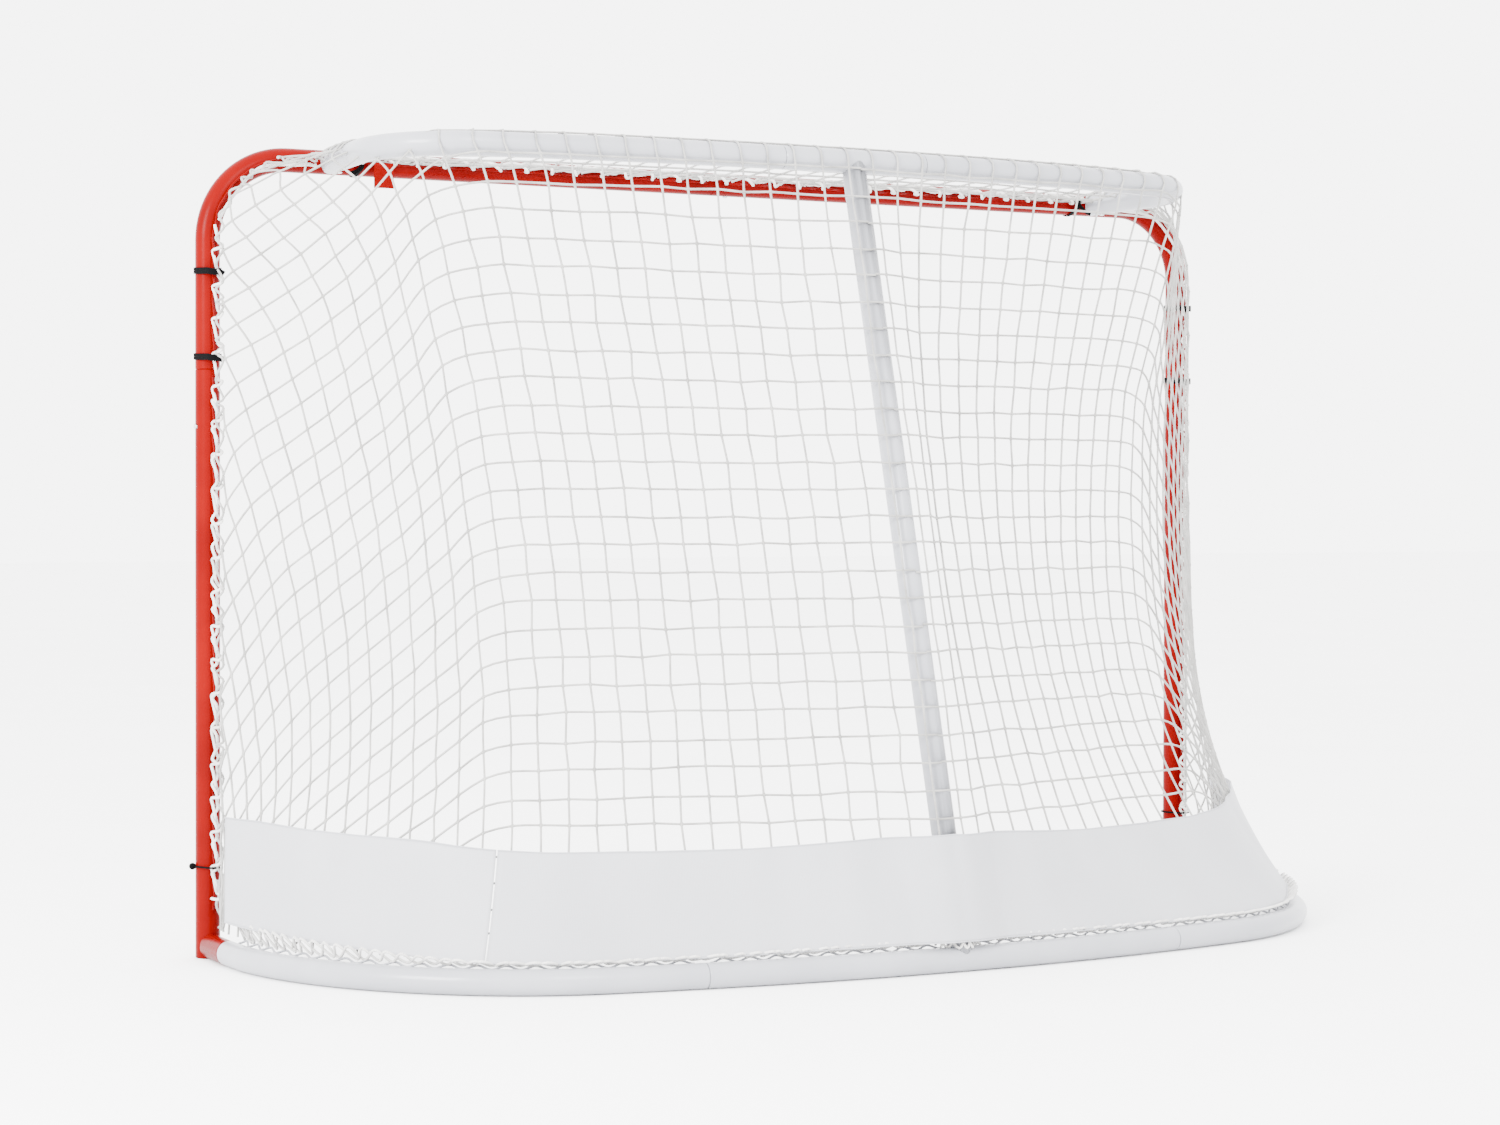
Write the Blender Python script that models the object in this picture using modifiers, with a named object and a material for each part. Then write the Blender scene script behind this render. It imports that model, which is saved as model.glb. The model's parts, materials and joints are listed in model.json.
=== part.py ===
"""An ice hockey goal: a knock-down tube frame with lacing wires, snap-button joints, net, skirt and lacing.

Metres, +Z up. The goal mouth faces -Y, the ground is z = 0, and the origin is on the ground
under the middle of the goal. "Left" is the +X side, which is on the left of someone behind the goal.
"""

import math

import bmesh
import bpy
from mathutils import Matrix, Vector

# The goal mouth, between the posts and under the crossbar: 72 x 48 inches.
MOUTH_WIDTH = 1.8288
MOUTH_HEIGHT = 1.2192

# Every frame tube is the same 38 mm tube, and each joint has a reduced end that slips inside its neighbour.
TUBE_R = 0.019
WALL = 0.0015
FIT = 0.0003
BORE_R = TUBE_R - WALL
SPIGOT_R = BORE_R - FIT * 1.7
SPIGOT_BORE_R = SPIGOT_R - WALL
SPIGOT_LENGTH = 0.06
NECK = 0.01
TUBE_RESOLUTION = 6
STRAIGHT_END = 0.075

POST_X = MOUTH_WIDTH / 2 + TUBE_R
BAR_Z = MOUTH_HEIGHT + TUBE_R
GOAL_LINE_Y = -0.3517  # the posts' axes, which puts the origin under the middle of the goal
BEND_R = 0.13
FOOT_PLATE = 0.002

POST_SEAM_Z = 0.909
POST_SPIGOT = 0.115
POST_BUTTON_Z = 0.821
BAR_SEAM_X = 0.045
BAR_BUTTON_X = 0.015

# The base rail: a side line from the post, a long round corner and a bowed rear.
RAIL_CORNER_X = 0.9696
RAIL_REAR_Y = 0.6975
RAIL_BOW = 0.1793
RAIL_CORNER = 0.4107
RAIL_SEAM_X = 0.423
STUB_LENGTH = 0.105

# The top shelf: two legs from the crossbar, tight corners and a bowed rear.
LEG_X = 0.733
SHELF_CORNER_X = 0.7599
SHELF_REAR_Y = 0.3824
SHELF_BOW = 0.1424
SHELF_CORNER = 0.1353
SHELF_Z = 1.2459
TEE_HALF = 0.13

# Snap buttons: a pin on a leaf, and the clip that the leaf is the other leg of.
BUTTON_R = 0.004
BUTTON_HOLE_R = 0.0046
BUTTON_PROUD = 0.0028
LEAF_THICK = 0.0008
LEAF_WIDTH = 0.006
LEAF_TOP_R = 0.0142
LEAF_TAIL = 0.018
CLIP_BEND = 0.012
CLIP_BOTTOM_R = 0.0139
BUTTON_FROM_SEAM = 0.03

# Screws that lock the shelf legs and the strut.
SCREW_R = 0.002
SCREW_HEAD_R = 0.0045
SCREW_HEAD = 0.0022
SCREW_REACH = 0.006
SCREW_FROM_END = 0.045

# The wavy wires that the net is laced to.
WIRE_R = 0.00175
WELD_PITCH = 0.045
WIRE_STANDOFF = 0.007
RAIL_WIRE_ANGLE = math.radians(50)

# The net, the skirt outside its lower edge, and the cord that laces the net to the wires.
NET_THICK = 0.003
NET_TOP_Z = TUBE_R + SHELF_Z + 0.0025
NET_FRONT_Y = 0.042
NET_OUT = 0.010
NET_SAG_POWER = 4.2
# Below the shelf the net's plan rounds off the shelf's corner.
SOFT_POINTS = 160
SOFT_PASSES = 2400
SOFT_END_X = 0.22
SOFT_TOP_Z = 1.21
SOFT_DEPTH = 0.33
NET_LEVELS = (0.062, 0.139, 0.219, 0.32, 0.44, 0.58, 0.74, 0.90, 1.06, 1.21)
NET_SIDE_COLUMNS = [0.0, 0.08, 0.16, 0.24, 0.32, 0.40]
NET_BACK_COLUMNS = [0.48, 0.56, 0.68, 0.84, 0.978, 1.0]
STRUT_U = 0.97
SKIRT_THICK = 0.001
# The skirt's lower and upper edges at shares of the way from the post to the middle.
SKIRT_U = (0.0, 0.25, 0.41, 0.6, 0.8, 1.0)
SKIRT_LOW = (0.070, 0.057, 0.045, 0.044, 0.046, 0.048)
SKIRT_HIGH = (0.225, 0.211, 0.195, 0.189, 0.195, 0.206)
SKIRT_ROWS = (0, 0.5, 1)
SKIRT_SEAM_U = 0.41
CORD_R = 0.002
CORD_OUT = 0.0395
LACE_TOUCH = TUBE_R + FIT * 2 + WIRE_R * 2 + WIRE_STANDOFF + CORD_R
LACE_LOW_Z = 0.08
RAIL_LACE_RISE = 0.011
RAIL_LACE_START = 0.03
LEG_GAP = 0.024
STRUT_GAP = 0.028
WIRE_END_GAP = 0.012
WIRE_LEG_GAP = 0.030
POST_WIRE_LOW_Z = 0.075

# Straps and ties that hold the net's edge against the posts and the crossbar.
STRAP_WIDTH = 0.010
STRAP_THICK = 0.0018
STRAP_BACK = 0.0352
STRAP_BACK_R = 0.011
STRAP_Z = (1.060, 0.928)
BAR_STRAP_X = 0.690
TIE_R = 0.0015
TIE_Z = 0.142
TIE_BALL_R = 0.0055
TAB_X = 0.6575
TAB_WIDTH = 0.033
TAB_DROP = 0.040
TAB_THICK = 0.0008

RED = (0.75, 0.02, 0.015)
WHITE = (0.80, 0.81, 0.83)
CORD_WHITE = (0.86, 0.86, 0.84)
VINYL = (0.80, 0.80, 0.82)
BLACK = (0.02, 0.02, 0.022)
STEEL = (0.55, 0.55, 0.57)


def clear_scene():
    for obj in list(bpy.data.objects):
        bpy.data.objects.remove(obj, do_unlink=True)


def new_collection(name):
    collection = bpy.data.collections.new(name)
    bpy.context.scene.collection.children.link(collection)
    return collection


def material(name, colour, roughness, metallic):
    made = bpy.data.materials.new(name)
    made.use_nodes = True
    shader = made.node_tree.nodes["Principled BSDF"]
    shader.inputs["Base Color"].default_value = (*colour, 1.0)
    shader.inputs["Roughness"].default_value = roughness
    shader.inputs["Metallic"].default_value = metallic
    return made


def world(x, y, z):
    """A point given from the goal line, as a point from the origin."""
    return Vector((x, y + GOAL_LINE_Y, z))


# ---------------------------------------------------------------- plan curves


def bezier(a, b, c, d, steps):
    points = []
    for i in range(steps + 1):
        t = i / steps
        u = 1 - t
        points.append(a * u**3 + b * 3 * u * u * t + c * 3 * u * t * t + d * t**3)
    return points


def plan_half(start, corner_x, rear_y, bow, corner, steps):
    """Half of a rail from above: a side line, a round corner and a bowed rear, from front to middle."""
    arc_handle = 0.5523
    rear_steps = 120
    nearly_all = 0.999
    corner_point = Vector((corner_x, rear_y - bow * corner_x**2))
    side = (start - corner_point).normalized()
    corner_start = corner_point + side * min(corner, (start - corner_point).length * nearly_all)
    rear = [Vector((corner_x * i / rear_steps, 0)) for i in range(rear_steps, -1, -1)]
    for point in rear:
        point.y = rear_y - bow * point.x**2
    run = 0.0
    index = 0
    while run < corner:
        run += (rear[index + 1] - rear[index]).length
        index += 1
    corner_end = rear[index]
    tangent = Vector((1, -2 * bow * corner_end.x)).normalized()
    across = corner_start - corner_end
    reach = across.cross(side) / tangent.cross(side)
    peak = corner_end + tangent * reach
    first = corner_start + (peak - corner_start) * arc_handle
    second = corner_end + (peak - corner_end) * arc_handle
    return [start] + bezier(corner_start, first, second, corner_end, steps) + rear[index + 1 :]


def whole(half):
    """The plan curve from the left front, round the rear, to the right front."""
    return half + [Vector((-p.x, p.y)) for p in reversed(half[:-1])]


def lengths(points):
    run = [0.0]
    for a, b in zip(points, points[1:]):
        run.append(run[-1] + (b - a).length)
    return run


def point_at(points, run, s):
    """The point at a distance s along a curve. Past an end, it goes on straight."""
    i = 0
    while i < len(points) - 2 and run[i + 1] < s:
        i += 1
    return points[i] + (points[i + 1] - points[i]) * ((s - run[i]) / (run[i + 1] - run[i]))


def distance_at_x(points, run, x):
    for i in range(len(points) - 1):
        if (points[i].x - x) * (points[i + 1].x - x) <= 0:
            share = (points[i].x - x) / (points[i].x - points[i + 1].x)
            return run[i] + share * (run[i + 1] - run[i])
    return run[-1]


def stretch(curve, s0, s1, turn):
    """Points of a curve from s0 to s1, close together only where it turns, straight at both ends."""
    run = lengths(curve)
    step = 0.01
    first = s0 + STRAIGHT_END
    final = s1 - STRAIGHT_END
    count = max(2, round((final - first) / step))
    samples = [first + (final - first) * i / count for i in range(count + 1)]
    kept = [s0, samples[0]]
    last = point_at(curve, run, samples[0] + step) - point_at(curve, run, samples[0])
    for s in samples[1:-1]:
        heading = point_at(curve, run, s + step) - point_at(curve, run, s)
        if heading.angle(last) > turn:
            kept.append(s)
            last = heading
    kept += [samples[-1], s1]
    return [point_at(curve, run, s) for s in kept]


RAIL = whole(plan_half(Vector((POST_X, 0)), RAIL_CORNER_X, RAIL_REAR_Y, RAIL_BOW, RAIL_CORNER, 24))
SHELF = whole(plan_half(Vector((LEG_X, 0)), SHELF_CORNER_X, SHELF_REAR_Y, SHELF_BOW, SHELF_CORNER, 16))
RAIL_RUN = lengths(RAIL)
SHELF_RUN = lengths(SHELF)
TURN = math.radians(9)


def rail_points(s0, s1):
    return [world(p.x, p.y, TUBE_R) for p in stretch(RAIL, s0, s1, TURN)]


def shelf_height(y):
    return BAR_Z + (SHELF_Z - BAR_Z) * min(1.0, max(0.0, y / SHELF_REAR_Y))


def shelf_points(s0, s1):
    return [world(p.x, p.y, shelf_height(p.y)) for p in stretch(SHELF, s0, s1, TURN)]


# ---------------------------------------------------------------- solids


def in_collection(obj, collection):
    for other in list(obj.users_collection):
        other.objects.unlink(obj)
    collection.objects.link(obj)
    return obj


def weld_caps(mesh):
    shape = bmesh.new()
    shape.from_mesh(mesh)
    bmesh.ops.remove_doubles(shape, verts=shape.verts, dist=0.00001)
    bmesh.ops.recalc_face_normals(shape, faces=shape.faces)
    shape.to_mesh(mesh)
    shape.free()


def curve_mesh(name, points, radius, resolution, collection):
    """A round bar along points, as a mesh with its end caps welded on."""
    data = bpy.data.curves.new(name, "CURVE")
    data.dimensions = "3D"
    data.bevel_depth = radius
    data.bevel_resolution = resolution
    data.use_fill_caps = True
    data.twist_mode = "Z_UP"
    spline = data.splines.new("POLY")
    spline.points.add(len(points) - 1)
    for target, point in zip(spline.points, points):
        target.co = (*point, 1.0)
    curve = bpy.data.objects.new(name + "_path", data)
    collection.objects.link(curve)
    bpy.context.view_layer.update()
    graph = bpy.context.evaluated_depsgraph_get()
    mesh = bpy.data.meshes.new_from_object(curve.evaluated_get(graph))
    mesh.name = name
    weld_caps(mesh)
    obj = bpy.data.objects.new(name, mesh)
    obj.matrix_world = curve.matrix_world
    bpy.data.objects.remove(curve, do_unlink=True)
    collection.objects.link(obj)
    return obj


def as_cutter(obj):
    obj.hide_render = True
    obj.display_type = "WIRE"
    return in_collection(obj, CUTTERS)


def combine(obj, other, operation):
    modifier = obj.modifiers.new(operation.lower(), "BOOLEAN")
    modifier.operation = operation
    modifier.solver = "EXACT"
    modifier.object = as_cutter(other)


def bar(name, points, radius):
    return curve_mesh(name, points, radius, TUBE_RESOLUTION, PARTS)


def add_bar(obj, points, radius):
    combine(obj, curve_mesh(obj.name + "_add", points, radius, TUBE_RESOLUTION, CUTTERS), "UNION")


def cut_bar(obj, points, radius):
    combine(obj, curve_mesh(obj.name + "_cut", points, radius, TUBE_RESOLUTION, CUTTERS), "DIFFERENCE")


def beyond(points, start, end):
    """The same points with the two ends moved outwards along the end directions."""
    moved = list(points)
    moved[0] = points[0] + (points[0] - points[1]).normalized() * start
    moved[-1] = points[-1] + (points[-1] - points[-2]).normalized() * end
    return moved


def finish_part(obj, paint):
    obj.data.materials.clear()
    obj.data.materials.append(paint)
    obj.data.shade_smooth()
    obj.data.set_sharp_from_angle(angle=math.radians(35))
    return obj


# ---------------------------------------------------------------- frame tubes


def stub_joint(side):
    """The end of a post's stub, and the way that its reduced end points."""
    seam = point_at(RAIL, RAIL_RUN, STUB_LENGTH)
    out = point_at(RAIL, RAIL_RUN, STUB_LENGTH + FIT + STRAIGHT_END) - seam
    along = Vector((out.x, out.y, 0)).normalized()
    return mirrored(world(seam.x, seam.y, TUBE_R), side), mirrored(along, side)


def mirrored(vector, side):
    return Vector((vector.x * side, vector.y, vector.z))


def post(name, side):
    """A post with its foot plate and the stub that the base rail slips over."""
    foot = world(POST_X * side, 0, 0)
    top = world(POST_X * side, 0, POST_SEAM_Z)
    stub_root = world(POST_X * side, 0, TUBE_R)
    seam, along = stub_joint(side)
    obj = bar(name, [foot, top], TUBE_R)
    add_bar(obj, [stub_root, seam - along * NECK, seam], TUBE_R * 0.999)
    add_bar(obj, [seam - along * NECK / 2, seam + along * SPIGOT_LENGTH], SPIGOT_R)
    cut_bar(obj, [foot + Vector((0, 0, FOOT_PLATE)), top + Vector((0, 0, NECK))], BORE_R)
    cut_bar(obj, [stub_root.lerp(seam, (TUBE_R + WALL) / STUB_LENGTH), seam - along * NECK], BORE_R)
    cut_bar(obj, [seam - along * NECK * 1.5, seam + along * (SPIGOT_LENGTH + NECK)], SPIGOT_BORE_R)
    cut_hole(obj, world(POST_X * side, 0, POST_BUTTON_Z), Vector((side, 0, 0)))
    cut_hole(obj, seam + along * BUTTON_FROM_SEAM, inward_of(along, side))
    return finish_part(obj, PAINT["red_enamel"])


def inward_of(along, side):
    """The level direction from a side rail towards the inside of the goal."""
    return Vector((-along.y * side, along.x * side, 0)).normalized()


def leg_direction(side):
    """The way a shelf leg leaves the crossbar."""
    s = TUBE_R * 0.5 + STRAIGHT_END
    plan = point_at(SHELF, SHELF_RUN, s)
    end = world(plan.x * side, plan.y, shelf_height(plan.y))
    return (end - world(LEG_X * side, 0, BAR_Z)).normalized()


def upper_points(side, end_x):
    """From a post's seam, up and round the corner, and along the crossbar."""
    steps = 8
    points = [world(POST_X * side, 0, POST_SEAM_Z)]
    for i in range(steps + 1):
        turn = math.pi / 2 * i / steps
        x = POST_X - BEND_R + BEND_R * math.cos(turn)
        z = BAR_Z - BEND_R + BEND_R * math.sin(turn)
        points.append(world(x * side, 0, z))
    points.append(world(end_x, 0, BAR_Z))
    return points


def upper_frame(name, side):
    """The upper part of a post, its corner bend and its share of the crossbar."""
    points = upper_points(side, BAR_SEAM_X)
    obj = bar(name, points, TUBE_R)
    male = side > 0
    peg_root = world(LEG_X * side, 0, BAR_Z)
    leg = leg_direction(side)
    add_bar(obj, [peg_root, peg_root + leg * (TUBE_R + SPIGOT_LENGTH)], SPIGOT_R)
    add_bar(obj, [points[0] + Vector((0, 0, NECK / 2)), points[0] - Vector((0, 0, POST_SPIGOT))], SPIGOT_R)
    if male:
        tip = points[-1] - Vector((SPIGOT_LENGTH, 0, 0))
        add_bar(obj, [points[-1] + Vector((NECK / 2, 0, 0)), tip], SPIGOT_R)
    cut_bar(obj, beyond(points, -NECK, -NECK if male else NECK), BORE_R)
    low = points[0] - Vector((0, 0, POST_SPIGOT + NECK))
    cut_bar(obj, [points[0] + Vector((0, 0, NECK * 1.5)), low], SPIGOT_BORE_R)
    if male:
        far = points[-1] - Vector((SPIGOT_LENGTH + NECK, 0, 0))
        cut_bar(obj, [points[-1] + Vector((NECK * 1.5, 0, 0)), far], SPIGOT_BORE_R)
    peg_end = peg_root + leg * (TUBE_R + SPIGOT_LENGTH + NECK)
    cut_bar(obj, [peg_root + leg * (TUBE_R + WALL), peg_end], SPIGOT_BORE_R)
    cut_hole(obj, world(POST_X * side, 0, POST_BUTTON_Z), Vector((side, 0, 0)))
    cut_hole(obj, world(BAR_BUTTON_X, 0, BAR_Z), Vector((0, 0, -1)))
    cut_screw_hole(obj, leg_screw_place(side), Vector((0, 0, 1)))
    return finish_part(obj, PAINT["red_enamel"])


def rail_s(x):
    return distance_at_x(RAIL, RAIL_RUN, x)


def shelf_s(x):
    return distance_at_x(SHELF, SHELF_RUN, x)


def base_rail_side(name, side):
    """A side of the base rail: over the post's stub, round the corner and on to the rear seam."""
    points = rail_points(STUB_LENGTH + FIT, rail_s(RAIL_SEAM_X))
    points = [mirrored(p, side) for p in points]
    obj = bar(name, points, TUBE_R)
    cut_bar(obj, beyond(points, NECK, NECK), BORE_R)
    seam, along = stub_joint(side)
    cut_hole(obj, seam + along * BUTTON_FROM_SEAM, inward_of(along, side))
    place, inward = rail_button(side)
    cut_hole(obj, place, inward)
    return finish_part(obj, PAINT["white_powder"])


def plan_place(curve, run, s, z):
    """The point at s on a plan curve, with its direction and its level direction inwards."""
    a = point_at(curve, run, s)
    b = point_at(curve, run, s + 0.002)
    along = Vector((b.x - a.x, b.y - a.y, 0)).normalized()
    return world(a.x, a.y, z), along, Vector((along.y, -along.x, 0))


def rail_joint(side):
    """The rear seam of the base rail on one side, and the way that the middle tube's reduced end points."""
    s = rail_s(RAIL_SEAM_X)
    seam = point_at(RAIL, RAIL_RUN, s)
    out = point_at(RAIL, RAIL_RUN, s - STRAIGHT_END) - seam
    along = Vector((out.x, out.y, 0)).normalized()
    return mirrored(world(seam.x, seam.y, TUBE_R), side), mirrored(along, side)


def shelf_joint(side):
    s = shelf_s(TEE_HALF)
    seam = point_at(SHELF, SHELF_RUN, s)
    out = point_at(SHELF, SHELF_RUN, s - STRAIGHT_END) - seam
    along = Vector((out.x, out.y, 0)).normalized()
    return mirrored(world(seam.x, seam.y, SHELF_Z), side), mirrored(along, side)


def rail_button(side):
    seam, along = rail_joint(side)
    inward = Vector((along.y * side, -along.x * side, 0))
    if inward.y > 0:
        inward = -inward
    return seam + along * BUTTON_FROM_SEAM, inward


def strut_ends():
    return world(0, SHELF_REAR_Y, SHELF_Z), world(0, RAIL_REAR_Y, TUBE_R)


def curved_middle(name, curve_points, outs, peg, paint):
    """A short rear tube with a reduced end each way and a peg for the strut."""
    obj = bar(name, curve_points, TUBE_R)
    start, end = curve_points[0], curve_points[-1]
    out_start, out_end = outs
    for seam, out in ((start, out_start), (end, out_end)):
        add_bar(obj, [seam - out * NECK / 2, seam + out * SPIGOT_LENGTH], SPIGOT_R)
    root, direction = peg
    add_bar(obj, [root, root + direction * (TUBE_R + SPIGOT_LENGTH)], SPIGOT_R)
    cut_bar(obj, beyond(curve_points, -NECK, -NECK), BORE_R)
    for seam, out in ((start, out_start), (end, out_end)):
        cut_bar(obj, [seam - out * NECK * 1.5, seam + out * (SPIGOT_LENGTH + NECK)], SPIGOT_BORE_R)
    tip = root + direction * (TUBE_R + SPIGOT_LENGTH + NECK)
    cut_bar(obj, [root + direction * (TUBE_R + WALL), tip], SPIGOT_BORE_R)
    return finish_part(obj, paint)


def shelf_side(name, side):
    """A side of the top shelf: the leg off the crossbar, its corner and the rear as far as the tee."""
    points = shelf_points(TUBE_R * 0.5, shelf_s(TEE_HALF) - FIT)
    points[0] = world(LEG_X, 0, BAR_Z) + leg_direction(1) * TUBE_R * 0.5
    points = [mirrored(p, side) for p in points]
    obj = bar(name, points, TUBE_R)
    crossbar = [world(POST_X, 0, BAR_Z), world(-POST_X, 0, BAR_Z)]
    cut_bar(obj, beyond(points, NECK * 3, NECK), BORE_R)
    cut_bar(obj, crossbar, TUBE_R + FIT)
    cut_screw_hole(obj, leg_screw_place(side), Vector((0, 0, 1)))
    return finish_part(obj, PAINT["white_powder"])


def squared(points, outs):
    """The same points with both end faces square to the tubes that meet them."""
    first = points[0] - outs[0] * NECK
    final = points[-1] - outs[1] * NECK
    return [points[0], first] + points[1:-1] + [final, points[-1]]


def tee_points():
    points = shelf_points(shelf_s(TEE_HALF) + FIT, shelf_s(-TEE_HALF) - FIT)
    return squared(points, (shelf_joint(1)[1], shelf_joint(-1)[1]))


def rail_middle_points():
    points = rail_points(rail_s(RAIL_SEAM_X) + FIT, rail_s(-RAIL_SEAM_X) - FIT)
    return squared(points, (rail_joint(1)[1], rail_joint(-1)[1]))


def centre_strut():
    top, bottom = strut_ends()
    obj = bar("centre_strut", [top, bottom], TUBE_R)
    cut_bar(obj, beyond([top, bottom], NECK * 3, NECK * 3), BORE_R)
    for met in (tee_points(), rail_middle_points()):
        cut_bar(obj, met, TUBE_R + FIT * 2)
    for place in strut_screw_places():
        cut_screw_hole(obj, place, Vector((1, 0, 0)))
    return finish_part(obj, PAINT["white_powder"])


# ---------------------------------------------------------------- snap buttons and screws


def cut_hole(obj, place, direction):
    """A hole for a snap button through one side of a tube."""
    direction = direction.normalized()
    ends = [place + direction * SPIGOT_BORE_R * 0.6, place + direction * TUBE_R * 1.4]
    combine(obj, curve_mesh(obj.name + "_hole", ends, BUTTON_HOLE_R, 4, CUTTERS), "DIFFERENCE")


def basis(outward, along):
    """A turn that takes +Z to outward and +X to along."""
    z = outward.normalized()
    x = along.normalized()
    y = z.cross(x)
    return Matrix((x, y, z)).transposed().to_4x4()


def snap_button(name, place, outward, along):
    """A domed pin on a spring leaf. It is pushed in along its own axis."""
    bpy.ops.mesh.primitive_cylinder_add(vertices=12, radius=BUTTON_R, depth=1)
    obj = in_collection(bpy.context.object, PARTS)
    obj.name = name
    length = TUBE_R + BUTTON_PROUD - LEAF_TOP_R + LEAF_THICK / 2
    middle = LEAF_TOP_R - LEAF_THICK / 2 + length / 2
    obj.data.transform(Matrix.Translation((0, 0, middle)) @ Matrix.Diagonal((1, 1, length, 1)))
    bevel = obj.modifiers.new("dome", "BEVEL")
    bevel.width = BUTTON_R * 0.35
    bevel.segments = 2
    bevel.limit_method = "ANGLE"
    bpy.ops.mesh.primitive_cube_add(size=1)
    leaf = bpy.context.object
    leaf.name = name + "_leaf"
    size = Matrix.Diagonal((LEAF_TAIL + BUTTON_R * 1.4, LEAF_WIDTH, LEAF_THICK, 1))
    shift = Matrix.Translation(((BUTTON_R * 1.4 - LEAF_TAIL) / 2, 0, LEAF_TOP_R - LEAF_THICK / 2))
    leaf.data.transform(shift @ size)
    turn = Matrix.Translation(place) @ basis(outward, along)
    obj.matrix_world = turn
    leaf.matrix_world = turn
    combine(obj, leaf, "UNION")
    return finish_part(obj, PAINT["spring_steel"])


def spring_clip(name, place, outward, along):
    """The rest of the spring: a bend behind the leaf's tail and a leg along the far wall."""
    data = bpy.data.curves.new(name, "CURVE")
    data.dimensions = "2D"
    data.fill_mode = "BOTH"
    data.extrude = LEAF_WIDTH / 2
    outer = clip_outline(0)
    inner = clip_outline(LEAF_THICK)
    outline = outer + inner[::-1]
    spline = data.splines.new("POLY")
    spline.points.add(len(outline) - 1)
    spline.use_cyclic_u = True
    for target, point in zip(spline.points, outline):
        target.co = (point[0], point[1], 0, 1)
    curve = bpy.data.objects.new(name + "_outline", data)
    PARTS.objects.link(curve)
    stand_up = Matrix.Rotation(math.pi / 2, 4, "X")
    curve.matrix_world = Matrix.Translation(place) @ basis(outward, along) @ stand_up
    bpy.context.view_layer.update()
    graph = bpy.context.evaluated_depsgraph_get()
    mesh = bpy.data.meshes.new_from_object(curve.evaluated_get(graph))
    weld_caps(mesh)
    obj = bpy.data.objects.new(name, mesh)
    obj.matrix_world = curve.matrix_world
    bpy.data.objects.remove(curve, do_unlink=True)
    PARTS.objects.link(obj)
    return finish_part(obj, PAINT["spring_steel"])


def clip_outline(inset):
    """One side of the clip's strip, from the leaf's tail, round the bend and along the far wall."""
    steps = 7
    start_x = -LEAF_TAIL - FIT
    points = [(start_x, LEAF_TOP_R - inset)]
    middle = (LEAF_TOP_R - CLIP_BOTTOM_R) / 2
    half = (LEAF_TOP_R + CLIP_BOTTOM_R) / 2 - inset
    bend = CLIP_BEND - inset
    for i in range(steps + 1):
        turn = math.pi / 2 + math.pi * i / steps
        points.append((start_x - 0.001 + bend * math.cos(turn), middle + half * math.sin(turn)))
    points.append((BUTTON_R, -CLIP_BOTTOM_R + inset))
    return points


def button_places():
    """Every snap joint: its name, the point on the tube's axis, the way out and the way back to the seam."""
    places = []
    up = Vector((0, 0, 1))
    for word, side in (("left", 1), ("right", -1)):
        out = Vector((side, 0, 0))
        places.append((word + "_post", world(POST_X * side, 0, POST_BUTTON_Z), out, up))
        seam, along = stub_joint(side)
        places.append((word + "_stub", seam + along * BUTTON_FROM_SEAM, inward_of(along, side), -along))
        place, inward = rail_button(side)
        places.append((word + "_rail", place, inward, -rail_joint(side)[1]))
    bar_place = world(BAR_BUTTON_X, 0, BAR_Z)
    places.append(("crossbar", bar_place, -up, Vector((1, 0, 0))))
    return places


def snap_joints():
    for name, place, outward, along in button_places():
        straight = (along - outward * along.dot(outward)).normalized()
        snap_button(name + "_button", place, outward, straight)
        spring_clip(name + "_clip", place, outward, straight)


def leg_screw_place(side):
    return world(LEG_X * side, SCREW_FROM_END, shelf_height(SCREW_FROM_END))


def strut_screw_places():
    top, bottom = strut_ends()
    along = (bottom - top).normalized()
    return top + along * SCREW_FROM_END, bottom - along * SCREW_FROM_END


def cut_screw_hole(obj, place, direction):
    """A clearance hole on the side of a screw's head, against the direction it is driven in."""
    ends = [place - direction * SPIGOT_BORE_R * 0.5, place - direction * TUBE_R * 1.4]
    combine(obj, curve_mesh(obj.name + "_screw", ends, SCREW_R + FIT, 2, CUTTERS), "DIFFERENCE")


def screw(name, place, direction):
    """A pan-head screw through a tube and the peg inside it."""
    seat = TUBE_R + FIT
    profile = [
        (0, -(seat + SCREW_HEAD)),
        (SCREW_HEAD_R * 0.6, -(seat + SCREW_HEAD)),
        (SCREW_HEAD_R, -(seat + SCREW_HEAD * 0.5)),
        (SCREW_HEAD_R, -seat),
        (SCREW_R, -seat),
        (SCREW_R, -(seat - SCREW_REACH)),
        (0, -(seat - SCREW_REACH)),
    ]
    mesh = bpy.data.meshes.new(name)
    edges = [(i, i + 1) for i in range(len(profile) - 1)]
    mesh.from_pydata([(x, 0, -z) for x, z in profile], edges, [])
    obj = bpy.data.objects.new(name, mesh)
    PARTS.objects.link(obj)
    turned = obj.modifiers.new("turned", "SCREW")
    turned.steps = 12
    turned.render_steps = 12
    turned.use_merge_vertices = True
    turned.merge_threshold = 0.00001
    side = Vector((0, 1, 0)) if abs(direction.y) < 0.9 else Vector((1, 0, 0))
    along = (side - direction * side.dot(direction)).normalized()
    obj.matrix_world = Matrix.Translation(place) @ basis(-direction, along)
    obj.data.materials.append(PAINT["zinc_steel"])
    return obj


# ---------------------------------------------------------------- lacing wires and cord


def wave(path, away, low, high):
    """Points beside a line: near it at each weld and stood off it half-way between."""
    run = lengths(path)
    loops = max(1, round(run[-1] / WELD_PITCH))
    points = []
    for i in range(2 * loops + 1):
        s = run[-1] * i / (2 * loops)
        place = point_at(path, run, s)
        points.append(place + away(s / run[-1]) * (high if i % 2 else low))
    return points


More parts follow.
